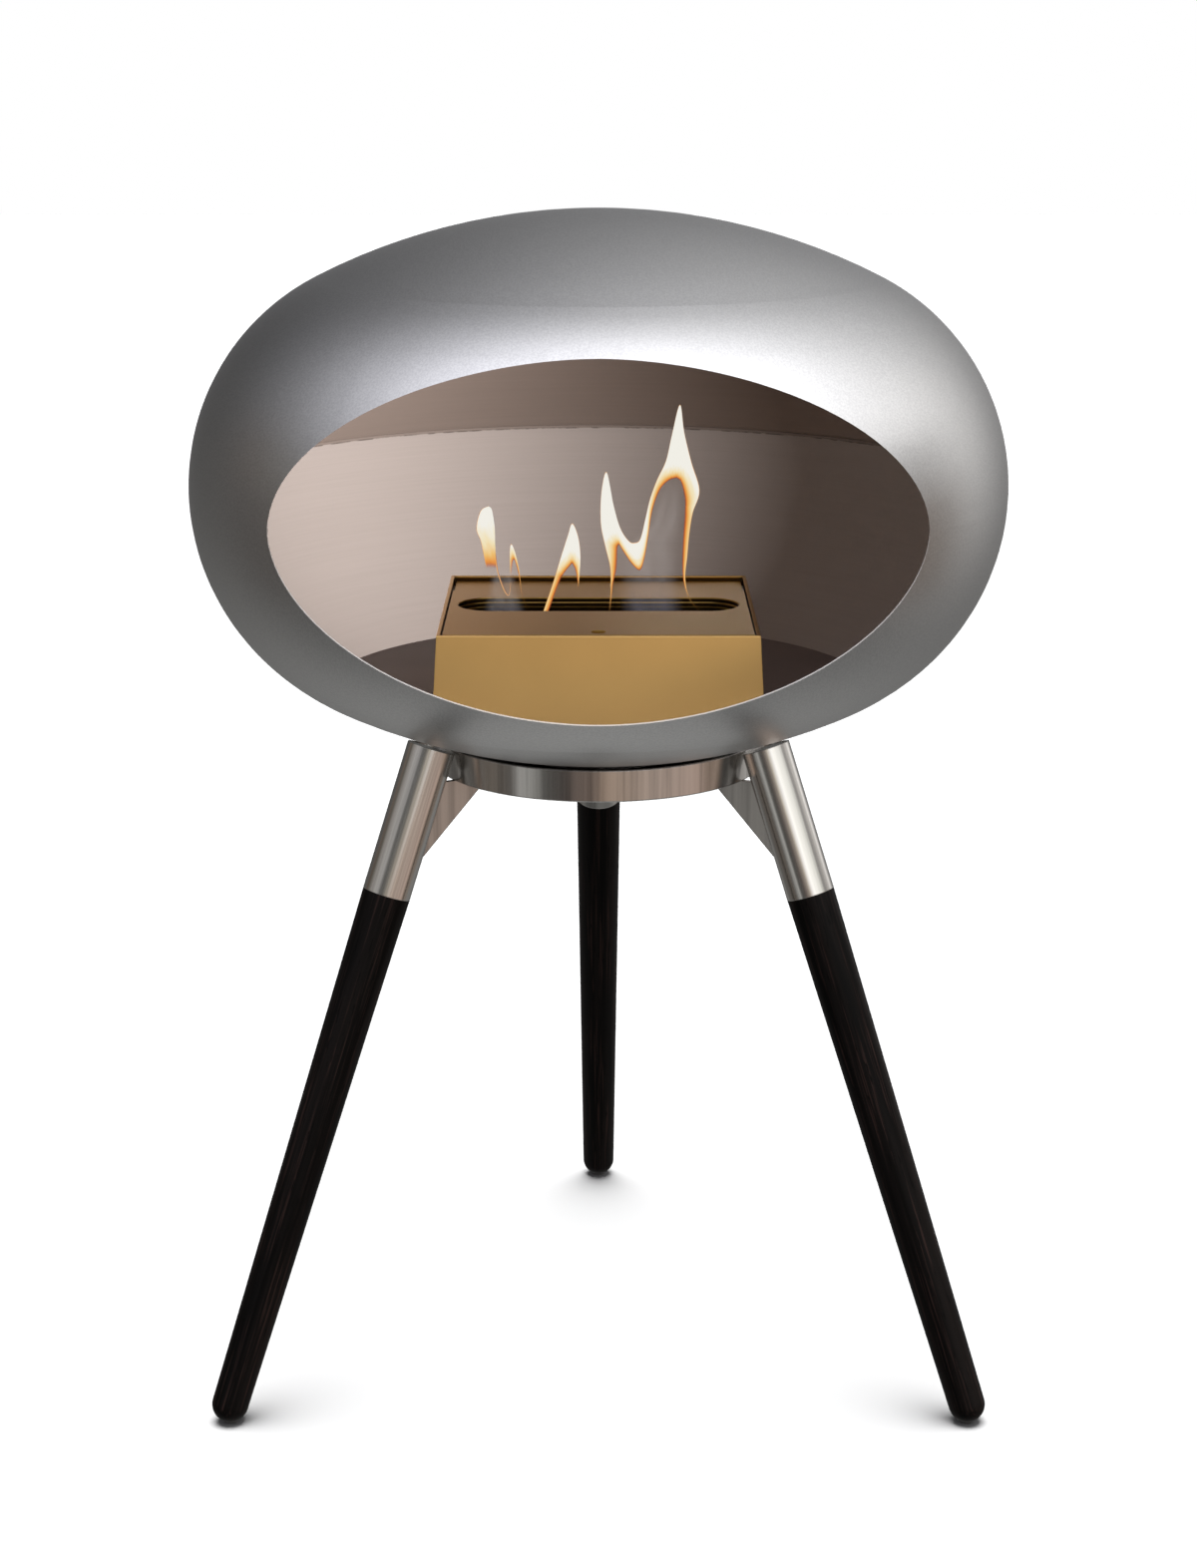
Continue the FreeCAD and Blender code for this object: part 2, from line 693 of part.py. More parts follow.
def make_housing():
    """Tapered wall of the burner, open above and below."""
    body = new_body("burner_housing")
    low, high = BURNER_BOTTOM, dim("burner_top")
    for kind, name, inset in (("Additive", "outer", "0"), ("Subtractive", "inner", dim("burner_wall"))):
        loft = body.newObject(f"PartDesign::{kind}Loft", f"housing_{name}")
        loft.Profile = burner_rectangle(body, f"{name}_low", low, inset)
        loft.Sections = [burner_rectangle(body, f"{name}_high", high, inset)]
        loft.Ruled = True
        doc.recompute()
    bevel_top(body, value(high), dim("edge_bevel"))

    base = new_body("burner_base")
    sketch = burner_rectangle(base, "outline", low, f"(Dims.burner_wall + 4 * {WELD_GAP})")
    pad(base, sketch, dim("base_plate_sheet"))

    feet = []
    spread = BURNER_FOOT_SPREAD
    for number, (x, y) in enumerate(((-1, -1), (1, -1), (1, 1), (-1, 1))):
        place = Vector(x * spread, value(dim("burner_centre")) + y * spread, value(dim("floor_top")))
        feet.append(cylinder(f"burner_foot_{number}", dim("burner_foot_radius"), dim("burner_foot"), place))
    group("burner_feet", feet)


def make_plate():
    """Fixed slotted plate under the lid, with the rails that carry it and the collar below it."""
    half_x = "(Dims.burner_width / 2 - Dims.burner_wall - Dims.plate_gap)"
    half_y = "(Dims.burner_depth / 2 - Dims.burner_wall - Dims.plate_gap)"
    centre = dim("burner_centre")
    plate = new_body("top_plate")
    sketch = new_sketch(plate, "outline", "XY_Plane", PLATE_BOTTOM)
    draw_rectangle(sketch, half_x, f"{centre} - {half_y}", f"{centre} + {half_y}")
    pad(plate, sketch, dim("lid_sheet"))
    slot = new_sketch(plate, "slot")
    draw_slot(slot, dim("slot_length"), dim("slot_width"), centre)
    cut_through(plate, slot)
    guide = "(Dims.pin_radius + Dims.pin_play)"
    for name, sign in (("left", "-"), ("right", "")):
        guide_slot = new_sketch(plate, f"guide_{name}")
        x = f"{sign}Dims.pin_spread"
        left, right = f"{x} - {guide}", f"{x} + {guide}"
        near, far = dim("pin_place"), "(Dims.pin_place + Dims.lid_travel)"
        corners = [(left, near), (right, near), (right, far), (left, far)]
        draw_outline(guide_slot, corners, {0: (x, near), 2: (x, far)})
        cut_through(plate, guide_slot)
    bevel_top(plate, value(PLATE_TOP), dim("edge_bevel"))

    for name, sign in (("left", "-"), ("right", "")):
        rail = new_body(f"plate_rail_{name}")
        outline = new_sketch(rail, "outline", "XZ_Plane")
        wall = f"({flared('Dims.burner_width / 2', PLATE_BOTTOM)} - Dims.burner_wall - 3 * {WELD_GAP})"
        inner, low = f"({wall} - Dims.rail_width)", f"({PLATE_BOTTOM} - Dims.rail_height)"
        shelf = f"({PLATE_BOTTOM} - Dims.rail_sheet)"
        thin = f"({wall} - Dims.rail_sheet)"
        corners = [
            (wall, low),
            (wall, PLATE_BOTTOM),
            (inner, PLATE_BOTTOM),
            (inner, shelf),
            (thin, shelf),
            (thin, low),
        ]
        draw_outline(outline, [(f"{sign}({x})", z) for x, z in corners])
        pad(rail, outline, "Dims.burner_depth - 2 * (Dims.burner_wall + Dims.rail_end_gap)", symmetric=True)
        rail.Placement.Base = Vector(0, value(centre), 0)

    collar = new_body("slot_collar")
    step, wall = dim("collar_step"), "(Dims.collar_step + Dims.collar_sheet)"
    outside = new_sketch(collar, "outline", "XY_Plane", dim("collar_bottom"))
    draw_slot(outside, f"Dims.slot_length + 2 * {wall}", f"Dims.slot_width + 2 * {wall}", centre)
    pad(collar, outside, f"{PLATE_BOTTOM} - Dims.collar_bottom")
    inside = new_sketch(collar, "opening")
    draw_slot(inside, f"Dims.slot_length + 2 * {step}", f"Dims.slot_width + 2 * {step}", centre)
    cut_through(collar, inside)


def make_tank():
    """Fuel tank under the collar, with its block of ceramic wool."""
    centre, sheet_size = dim("burner_centre"), dim("tank_sheet")
    top = dim("collar_bottom")
    tank = new_body("fuel_tank")
    outside = new_sketch(tank, "outline", "XY_Plane", TANK_BOTTOM)
    half_x, half_y = "(Dims.tank_width / 2)", "(Dims.tank_depth / 2)"
    draw_rectangle(outside, half_x, f"{centre} - {half_y}", f"{centre} + {half_y}")
    pad(tank, outside, f"{top} - {TANK_BOTTOM}")
    cavity_floor = f"({TANK_BOTTOM} + {sheet_size})"
    cavity_height = f"({top} - {sheet_size} - {cavity_floor})"
    cavity = new_sketch(tank, "cavity", "XY_Plane", cavity_floor)
    inner_x, inner_y = f"({half_x} - {sheet_size})", f"({half_y} - {sheet_size})"
    draw_rectangle(cavity, inner_x, f"{centre} - {inner_y}", f"{centre} + {inner_y}")
    doc.recompute()
    hollow = tank.newObject("PartDesign::Pocket", "tank_hollow")
    hollow.Profile = cavity
    hollow.Type = "Length"
    hollow.Reversed = True
    hollow.setExpression("Length", cavity_height)
    mouth = new_sketch(tank, "mouth", "XY_Plane", top)
    step = dim("collar_step")
    reach = f"Dims.tank_width - 2 * {sheet_size} - 2 * Dims.tank_mouth_gap"
    draw_slot(mouth, reach, f"Dims.slot_width + 2 * {step}", centre)
    doc.recompute()
    opening = tank.newObject("PartDesign::Pocket", "tank_mouth")
    opening.Profile = mouth
    opening.Type = "Length"
    opening.setExpression("Length", f"2 * {sheet_size}")

    wool = new_body("ceramic_wool")
    sketch = new_sketch(wool, "outline", "XY_Plane", cavity_floor)
    inner_x, inner_y = f"({inner_x} - Dims.wool_gap)", f"({inner_y} - Dims.wool_gap)"
    draw_rectangle(sketch, inner_x, f"{centre} - {inner_y}", f"{centre} + {inner_y}")
    pad(wool, sketch, dim("wool_height"))


def make_lid():
    """Sliding lid with its slot, tool hole and the two pins that guide it."""
    half_x = "(Dims.burner_width / 2 - Dims.burner_wall - Dims.plate_gap)"
    front = f"({BURNER_FRONT} + Dims.burner_wall + Dims.lid_front_gap)"
    lid = new_body("sliding_lid")
    sketch = new_sketch(lid, "outline", "XY_Plane", LID_BOTTOM)
    draw_rectangle(sketch, half_x, front, dim("lid_rear"))
    pad(lid, sketch, dim("lid_sheet"))
    slot = new_sketch(lid, "slot")
    draw_slot(slot, dim("slot_length"), dim("slot_width"), dim("burner_centre"))
    cut_through(lid, slot)
    hole = new_sketch(lid, "tool_hole")
    draw_circle(hole, dim("tool_hole_radius"), y=dim("tool_hole_place"))
    cut_through(lid, hole)
    bevel_top(lid, value(dim("burner_top")), dim("edge_bevel"))

    pins = []
    neck = f"({LID_BOTTOM} - {PLATE_BOTTOM} + Dims.pin_play)"
    for name, sign in (("left", -1), ("right", 1)):
        x, y = sign * value(dim("pin_spread")), value(dim("pin_place"))
        low = value(f"{PLATE_BOTTOM} - Dims.pin_play")
        shank = cylinder(f"pin_shank_{name}", dim("pin_radius"), neck, Vector(x, y, low))
        head_low = low - value(dim("pin_head_height"))
        head = cylinder(f"pin_head_{name}", dim("pin_head"), dim("pin_head_height"), Vector(x, y, head_low))
        pins.append(fused(f"lid_pin_{name}", [shank, head]))
    group("lid_pins", pins)


# ---------------------------------------------------------------- build, check and write

make_dome()
make_hub()
make_swivel()
for leg_side in LEG_SIDES:
    make_leg(leg_side)
make_leg_studs()
make_housing()
make_plate()
make_tank()
make_lid()
doc.recompute()

for item in doc.Objects:
    if "Invalid" in item.State or "Error" in item.State:
        raise RuntimeError(f"{item.Name} failed: {item.State}")
for node in nodes:
    if node.Shape.isNull() or not node.Shape.isValid() or not node.Shape.Solids:
        raise RuntimeError(f"{node.Label} has no valid solid")

os.makedirs("parts", exist_ok=True)
for node in nodes:
    node.Shape.exportStep(f"parts/{node.Label}.step")
print(f"{len(nodes)} nodes written")
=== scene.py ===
"""Looks for the free-standing ethanol hearth: materials, flames, studio light and camera.

Everything is in metres in the CAD frame: +Z up, floor z = 0, the dome's axis at x = y = 0, mouth towards -Y.
Azimuths are in degrees round that axis: 0 is -Y, 90 is +X. Only the flame outlines are in millimetres.
"""
import math

import bpy
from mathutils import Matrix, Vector


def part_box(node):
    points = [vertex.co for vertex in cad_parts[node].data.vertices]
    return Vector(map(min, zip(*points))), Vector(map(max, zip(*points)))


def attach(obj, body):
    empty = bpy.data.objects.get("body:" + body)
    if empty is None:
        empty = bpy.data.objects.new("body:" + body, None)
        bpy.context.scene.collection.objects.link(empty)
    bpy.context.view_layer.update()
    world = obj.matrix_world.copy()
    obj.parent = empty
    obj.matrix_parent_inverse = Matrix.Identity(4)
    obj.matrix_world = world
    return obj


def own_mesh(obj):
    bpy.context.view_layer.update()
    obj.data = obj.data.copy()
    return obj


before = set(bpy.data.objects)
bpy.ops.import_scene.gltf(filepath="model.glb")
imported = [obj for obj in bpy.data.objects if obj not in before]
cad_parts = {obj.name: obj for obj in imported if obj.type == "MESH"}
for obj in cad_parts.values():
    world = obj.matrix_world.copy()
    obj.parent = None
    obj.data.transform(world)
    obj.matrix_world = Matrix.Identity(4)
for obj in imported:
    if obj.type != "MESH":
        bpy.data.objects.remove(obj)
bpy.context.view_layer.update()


def top_of(node):
    """Height of a CAD node's highest point at rest."""
    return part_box(node)[1].z


# ---------------------------------------------------------------- places
LEG_AZIMUTHS = {"left": -60.0, "right": 60.0, "rear": 180.0}
LEG_TILT = math.radians(20.0)
SEAM_HEIGHT = top_of("dome_lower_shell")
DOME_CENTRE = (0.0, 0.0, SEAM_HEIGHT)
LID_TOP = top_of("sliding_lid")
SLOT_LOW, SLOT_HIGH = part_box("slot_collar")
SLOT_CENTRE = (0.0, (SLOT_LOW.y + SLOT_HIGH.y) / 2, LID_TOP)
CUT_HIGHLIGHT_Y = (-0.10, -0.12)  # the mouth's cut edge, bare steel painted light as a highlight, starts at the first y and is full at the second
SEAM_SOFTNESS = 0.0002  # half height over which the seam band changes from one lining's tone to the other's
SEAM_LINE = (0.0007, 0.0003)  # the dark line fades out this far from the seam, and is full this close to it
HIGHLIGHT_RIM = (0.0007, 0.0013)  # a gold wall starts to darken this far below its top edge, and is dark here; the strip above stays light gold as a painted highlight

# ---------------------------------------------------------------- colours
# the linings' warm tint; the upper one is darker as painted shade on the half that faces down
UPPER_LINING_SHADED = (0.24, 0.187, 0.16)
LOWER_LINING = (0.27, 0.229, 0.209)
FRONT_GOLD = (0.81, 0.525, 0.195)
# a darker copy of the housing's gold for the top plate, collar and lid, painted shade on the top faces
SHADED_TOP_GOLD = (0.57, 0.35, 0.10)
WALL_BROWN = (0.07, 0.042, 0.018)
# bare steel of the mouth's cut edge, made light as a painted highlight
CUT_HIGHLIGHT_STEEL = (0.8, 0.79, 0.78)
RING_STEEL = (0.62, 0.60, 0.58)
# a lighter copy of the ring's steel for the socket tubes, painted light
LIT_TUBE_STEEL = (0.76, 0.74, 0.715)
GUSSET_STEEL = (0.5, 0.48, 0.46)
ZINC = (0.55, 0.55, 0.56)
BRONZE = (0.60, 0.38, 0.17)


# ---------------------------------------------------------------- node helpers
def add(tree, kind, inputs=None, **settings):
    """Adds a shader node, sets its properties, and fills or links its inputs by name or index."""
    made = tree.nodes.new(kind)
    for name, setting in settings.items():
        setattr(made, name, setting)
    for key, given in (inputs or {}).items():
        if isinstance(given, bpy.types.NodeSocket):
            tree.links.new(given, made.inputs[key])
        else:
            made.inputs[key].default_value = given
    return made


def maths(tree, operation, first, second=None, third=None, clamp=False):
    """One Math node; each operand is a number or a socket."""
    given = {i: v for i, v in enumerate((first, second, third)) if v is not None}
    return add(tree, "ShaderNodeMath", given, operation=operation, use_clamp=clamp).outputs[0]


def vector_maths(tree, operation, first, second=None, output=0):
    """One Vector Math node; output 1 is the number that a dot product gives."""
    given = {i: v for i, v in enumerate((first, second)) if v is not None}
    return add(tree, "ShaderNodeVectorMath", given, operation=operation).outputs[output]


def component(tree, vector, axis):
    """The X, Y or Z of a vector."""
    return add(tree, "ShaderNodeSeparateXYZ", {0: vector}).outputs[axis]


def span(tree, given, low, high):
    """Maps low..high to 0..1 with soft ends, clamped."""
    inputs = {"Value": given, "From Min": low, "From Max": high}
    return add(tree, "ShaderNodeMapRange", inputs, interpolation_type="SMOOTHSTEP").outputs[0]


def mix_number(tree, factor, first, second):
    """Mixes two numbers by a factor."""
    return add(tree, "ShaderNodeMix", {0: factor, 2: first, 3: second}).outputs[0]


def mix_colour(tree, factor, first, second):
    """Mixes two colours by a factor; each is a socket or red, green and blue."""
    first, second = (given if isinstance(given, bpy.types.NodeSocket) else (*given, 1.0)
                     for given in (first, second))
    return add(tree, "ShaderNodeMix", {0: factor, 6: first, 7: second}, data_type="RGBA").outputs[2]


def ramp(tree, factor, stops):
    """A colour ramp from (place, colour) stops."""
    made = add(tree, "ShaderNodeValToRGB", {0: factor})
    band = made.color_ramp
    while len(band.elements) > 1:
        band.elements.remove(band.elements[-1])
    band.elements[0].position = stops[0][0]
    for place, _ in stops[1:]:
        band.elements.new(place)
    for element, (_, colour) in zip(band.elements, stops):
        element.color = (*colour, 1.0)
    return made.outputs[0]


def scaled(colour, times):
    """A colour made lighter or darker, never brighter than 1."""
    return [min(1.0, part * times) for part in colour]


def new_material(name):
    """A material with its tree, its Principled shader, and the object's own coordinates and normal."""
    material = bpy.data.materials.new(name)
    material.use_nodes = True
    tree = material.node_tree
    shader = next(n for n in tree.nodes if n.type == "BSDF_PRINCIPLED")
    place = tree.nodes.new("ShaderNodeTexCoord")
    return material, tree, shader, place.outputs["Object"], place.outputs["Normal"]


def noise(tree, place, scale, detail=2.0, rough=0.5, density=(1.0, 1.0, 1.0), turn=(0.0, 0.0, 0.0)):
    """Noise over some coordinates, denser along each axis as density says; turn tilts those axes."""
    inputs = {"Vector": place, "Scale": [1.0 / times for times in density], "Rotation": turn}
    laid = add(tree, "ShaderNodeMapping", inputs, vector_type="TEXTURE").outputs[0]
    inputs = {"Vector": laid, "Scale": scale, "Detail": detail, "Roughness": rough}
    return add(tree, "ShaderNodeTexNoise", inputs).outputs["Fac"]


def bump(tree, height, distance, strength, edge_radius=None):
    """A bump normal from a height, over softly rounded edges where a radius is given."""
    inputs = {"Height": height, "Distance": distance, "Strength": strength}
    if edge_radius:
        inputs["Normal"] = add(tree, "ShaderNodeBevel", {"Radius": edge_radius}, samples=4).outputs[0]
    return add(tree, "ShaderNodeBump", inputs).outputs[0]


def finish(tree, shader, colour, rough, normal):
    """Links the three sockets that every finish varies."""
    for socket, given in (("Base Color", colour), ("Roughness", rough), ("Normal", normal)):
        tree.links.new(given, shader.inputs[socket])


def dress(material, *nodes):
    """Gives CAD nodes this material in every slot."""
    for name in nodes:
        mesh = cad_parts[name].data
        if not mesh.materials:
            mesh.materials.append(material)
        for i in range(len(mesh.materials)):
            mesh.materials[i] = material


# ---------------------------------------------------------------- materials
def dome_material(name, lining_colour):
    """Satin grey steel outside, a warm heat-tinted lining inside, and a cut edge round the mouth in bare
    steel painted light as a highlight.
    """
    material, tree, shader, place, normal = new_material(name)
    dark, pale, cloudy = (0.54, 0.54, 0.55), (0.66, 0.66, 0.665), (0.60, 0.594, 0.588)
    outward = vector_maths(tree, "NORMALIZE", vector_maths(tree, "SUBTRACT", place, DOME_CENTRE))
    facing = vector_maths(tree, "DOT_PRODUCT", outward, normal, output=1)
    inside = span(tree, facing, 0.05, -0.05)
    # The mouth is cut straight back along Y, so its cut edge has no Y in its normal.
    flat_cut = span(tree, maths(tree, "ABSOLUTE", component(tree, normal, "Y")), 0.12, 0.02)
    cut_edge_highlight = maths(tree, "MULTIPLY", flat_cut, span(tree, component(tree, place, "Y"), *CUT_HIGHLIGHT_Y))
    grain = noise(tree, place, scale=760.0)
    clouds = noise(tree, place, scale=9.0, detail=3.0)
    brushing = noise(tree, place, scale=1.0, detail=3.0, density=(9.0, 9.0, 650.0))
    steel = mix_colour(tree, span(tree, grain, 0.3, 0.7), dark, pale)
    steel = mix_colour(tree, maths(tree, "MULTIPLY", clouds, 0.5), steel, cloudy)
    lining = mix_colour(tree, brushing, scaled(lining_colour, 0.93), scaled(lining_colour, 1.07))
    lining = mix_colour(tree, maths(tree, "MULTIPLY", grain, 0.3), lining, scaled(lining_colour, 1.1))
    # painted highlight: the mouth's cut edge takes a light steel colour
    colour = mix_colour(tree, cut_edge_highlight, mix_colour(tree, inside, steel, lining), CUT_HIGHLIGHT_STEEL)
    steel_rough = maths(tree, "MULTIPLY_ADD", grain, 0.06, 0.32)
    rough = mix_number(tree, cut_edge_highlight, mix_number(tree, inside, steel_rough, 0.5), 0.25)
    tree.links.new(mix_number(tree, inside, 1.0, 0.0), shader.inputs["Metallic"])
    finish(tree, shader, colour, rough, bump(tree, grain, 0.00003, 0.35))
    return material


def seam_finish(name, low_colour, shaded_upper_colour):
    """The band behind the seam: it carries each shell's lining tone up to the thin dark line between them,
    the upper tone being a darker copy painted as shade.
    """
    material, tree, shader, place, _ = new_material(name)
    height = component(tree, place, "Z")
    grain = noise(tree, place, scale=760.0)
    gaps = noise(tree, place, scale=120.0)
    above = span(tree, height, SEAM_HEIGHT - SEAM_SOFTNESS, SEAM_HEIGHT + SEAM_SOFTNESS)
    tone = mix_colour(tree, above, low_colour, shaded_upper_colour)
    off = maths(tree, "ABSOLUTE", maths(tree, "SUBTRACT", height, SEAM_HEIGHT))
    line = maths(tree, "MULTIPLY", span(tree, off, *SEAM_LINE), span(tree, gaps, 0.4, 0.6))
    tone = mix_colour(tree, line, tone, scaled(shaded_upper_colour, 0.55))
    tone = mix_colour(tree, maths(tree, "MULTIPLY", grain, 0.2), tone, low_colour)
    rough = maths(tree, "MULTIPLY_ADD", grain, 0.1, 0.45)
    finish(tree, shader, tone, rough, bump(tree, grain, 0.00003, 0.35))
    return material


def brushed_steel(name, colour, turn=(0.0, 0.0, 0.0), smoothest=0.12):
    """Polished steel with fine streaks along the turned Z axis and softly rounded edges."""
    material, tree, shader, place, _ = new_material(name)
    streaks = noise(tree, place, scale=420.0, detail=4.0, rough=0.7, density=(1.0, 1.0, 0.012), turn=turn)
    broad = noise(tree, place, scale=150.0, density=(1.0, 1.0, 0.02), turn=turn)
    tone = mix_colour(tree, span(tree, broad, 0.38, 0.62), scaled(colour, 0.72), scaled(colour, 1.06))
    bright = maths(tree, "MULTIPLY", span(tree, streaks, 0.3, 0.7), 0.45)
    tone = mix_colour(tree, bright, tone, scaled(colour, 1.3))
    rough = maths(tree, "MULTIPLY_ADD", streaks, 0.14, smoothest)
    shader.inputs["Metallic"].default_value = 1.0
    finish(tree, shader, tone, rough, bump(tree, streaks, 0.00003, 0.35, edge_radius=0.0009))
    return material


def plain_metal(name, colour, smoothest):
    """Machined metal with a fine mottled grain."""
    material, tree, shader, place, _ = new_material(name)
    grain = noise(tree, place, scale=700.0, detail=3.0)
    worn = noise(tree, place, scale=45.0, detail=4.0)
    tone = mix_colour(tree, grain, scaled(colour, 0.88), colour)
    tone = mix_colour(tree, span(tree, worn, 0.5, 0.75), tone, scaled(colour, 1.12))
    rough = maths(tree, "MULTIPLY_ADD", grain, 0.12, smoothest)
    shader.inputs["Metallic"].default_value = 1.0
    finish(tree, shader, tone, rough, bump(tree, grain, 0.00004, 0.4))
    return material


def gold_metal(name, top, gold):
    """Satin gold-coloured steel of the burner, darkened to brown on upright faces that look at the slot, but
    for a strip under each top edge left light as a painted highlight.
    """
    material, tree, shader, place, normal = new_material(name)
    grain = noise(tree, place, scale=900.0)
    clouds = noise(tree, place, scale=14.0, detail=3.0)
    from_slot = vector_maths(tree, "SUBTRACT", place, SLOT_CENTRE)
    facing = span(tree, vector_maths(tree, "DOT_PRODUCT", from_slot, normal, output=1), 0.0, -0.004)
    upright = span(tree, maths(tree, "ABSOLUTE", component(tree, normal, "Z")), 0.5, 0.3)
    # painted highlight: a strip just under the top edge is kept light gold
    highlight_start, highlight_end = HIGHLIGHT_RIM
    below_highlight = span(tree, component(tree, place, "Z"), top - highlight_start, top - highlight_end)
    darkened_walls = maths(tree, "MULTIPLY", maths(tree, "MULTIPLY", facing, upright), below_highlight)
    tone = mix_colour(tree, span(tree, clouds, 0.3, 0.7), gold, scaled(gold, 1.05))
    tone = mix_colour(tree, maths(tree, "MULTIPLY", grain, 0.15), tone, scaled(gold, 1.12))
    tone = mix_colour(tree, darkened_walls, tone, WALL_BROWN)
    rough = maths(tree, "MULTIPLY_ADD", grain, 0.05, 0.27)
    shader.inputs["Metallic"].default_value = 1.0
    finish(tree, shader, tone, rough, bump(tree, grain, 0.00001, 0.2, edge_radius=0.0007))
    return material


def along_leg(azimuth):
    """The turn that lays Z along the leg at this azimuth."""
    return -LEG_TILT, 0.0, math.radians(azimuth)


def black_wood(name, azimuth):
    """Black-stained wood with an open, faintly reddish grain along one leg."""
    material, tree, shader, place, _ = new_material(name)
    turn = along_leg(azimuth)
    black, brown = (0.0012, 0.0010, 0.0010), (0.0065, 0.0050, 0.0046)
    red_fibre, pore = (0.026, 0.0145, 0.0125), (0.0006, 0.0005, 0.0005)
    fibre = noise(tree, place, scale=620.0, detail=4.0, rough=0.6, density=(1.0, 1.0, 0.016), turn=turn)
    bands = noise(tree, place, scale=130.0, detail=3.0, density=(1.0, 1.0, 0.03), turn=turn)
    pores = noise(tree, place, scale=700.0, density=(1.0, 1.0, 0.08), turn=turn)
    tone = mix_colour(tree, span(tree, bands, 0.35, 0.68), black, brown)
    tone = mix_colour(tree, span(tree, fibre, 0.52, 0.72), tone, red_fibre)
    tone = mix_colour(tree, span(tree, pores, 0.62, 0.7), tone, pore)
    rough = maths(tree, "MULTIPLY_ADD", fibre, 0.25, 0.33)
    shader.inputs["Specular IOR Level"].default_value = 0.09
    finish(tree, shader, tone, rough, bump(tree, fibre, 0.00015, 0.35))
    return material


def hearth_paint(name):
    """Dark heat-proof coat of the hearth floor."""
    material, tree, shader, place, _ = new_material(name)
    dark, pale, speck = (0.072, 0.051, 0.046), (0.092, 0.066, 0.059), (0.115, 0.086, 0.078)
    grain = noise(tree, place, scale=800.0, detail=3.0)
    clouds = noise(tree, place, scale=18.0, detail=4.0)
    tone = mix_colour(tree, span(tree, clouds, 0.3, 0.7), dark, pale)
    tone = mix_colour(tree, maths(tree, "MULTIPLY", grain, 0.3), tone, speck)
    rough = maths(tree, "MULTIPLY_ADD", grain, 0.15, 0.45)
    finish(tree, shader, tone, rough, bump(tree, grain, 0.0001, 0.4))
    return material


def soft_matt(name, low, high, scale, depth):
    """A matt, grainy non-metal: glides, rubber feet and ceramic wool."""
    material, tree, shader, place, _ = new_material(name)
    grain = noise(tree, place, scale, detail=6.0, rough=0.65)
    tone = mix_colour(tree, span(tree, grain, 0.3, 0.7), low, high)
    rough = maths(tree, "MULTIPLY_ADD", grain, 0.2, 0.65)
    finish(tree, shader, tone, rough, bump(tree, grain, depth, 0.6))
    return material


def dress_dome():
    """The two shells, the band behind their seam, and the hearth floor."""
    dress(dome_material("dome_upper_finish", UPPER_LINING_SHADED), "dome_upper_shell")
    dress(dome_material("dome_lower_finish", LOWER_LINING), "dome_lower_shell")
    # above the seam the band takes the upper lining darkened to 0.62, painted shade to match the dimmer light
    # on the upper shell
    dress(seam_finish("seam_band_finish", LOWER_LINING, scaled(UPPER_LINING_SHADED, 0.62)), "seam_band")
    dress(hearth_paint("hearth_floor_finish"), "hearth_floor")


def dress_stand():
    """The ring and plates, and the tube, gusset, wood and glide of each leg."""
    dress(brushed_steel("ring_finish", RING_STEEL), "base_ring", "base_plate", "floor_support_ring")
    for side, azimuth in LEG_AZIMUTHS.items():
        # the tubes take the lighter copy of the steel, painted light
        tube = brushed_steel(f"tube_finish_{side}", LIT_TUBE_STEEL, turn=along_leg(azimuth))
        dress(tube, f"socket_tube_{side}", f"socket_cap_{side}")
        dress(brushed_steel(f"gusset_finish_{side}", GUSSET_STEEL, smoothest=0.25), f"gusset_{side}")
        dress(black_wood(f"wood_finish_{side}", azimuth), f"leg_{side}")
    rubber = soft_matt("glide_finish", (0.03, 0.03, 0.03), (0.055, 0.055, 0.056), 900.0, 0.0001)
    dress(rubber, "burner_feet", *(f"glide_{side}" for side in LEG_AZIMUTHS))


def dress_burner():
    """The gold parts of the burner, each with its own top height for the painted highlight strip, and the
    wool in its tank.
    """
    dress(gold_metal("burner_housing_finish", top_of("burner_housing"), FRONT_GOLD), "burner_housing")
    # the top parts take the darker copy of the gold, painted shade
    for node in ("top_plate", "slot_collar", "sliding_lid"):
        dress(gold_metal(f"{node}_finish", top_of(node), SHADED_TOP_GOLD), node)
    dress(soft_matt("ceramic_finish", (0.62, 0.60, 0.56), (0.85, 0.84, 0.80), 380.0, 0.0012), "ceramic_wool")


def dress_hidden_metal():
    """The swivel, studs, plugs, screws, rails and tank in zinc, and the two bearing rings in bronze."""
    dress(plain_metal("zinc_finish", ZINC, 0.28),
          "lower_race", "upper_race", "race_balls", "swivel_bolt", "swivel_nut",
          "leg_studs", "hub_plate", "hub_seat", "hub_screws",
          "lid_pins", "burner_base", "plate_rail_left", "plate_rail_right", "fuel_tank",
          *(f"socket_plug_{side}" for side in LEG_AZIMUTHS))
    dress(plain_metal("bronze_finish", BRONZE, 0.3), "thrust_washer", "hub_bushing")


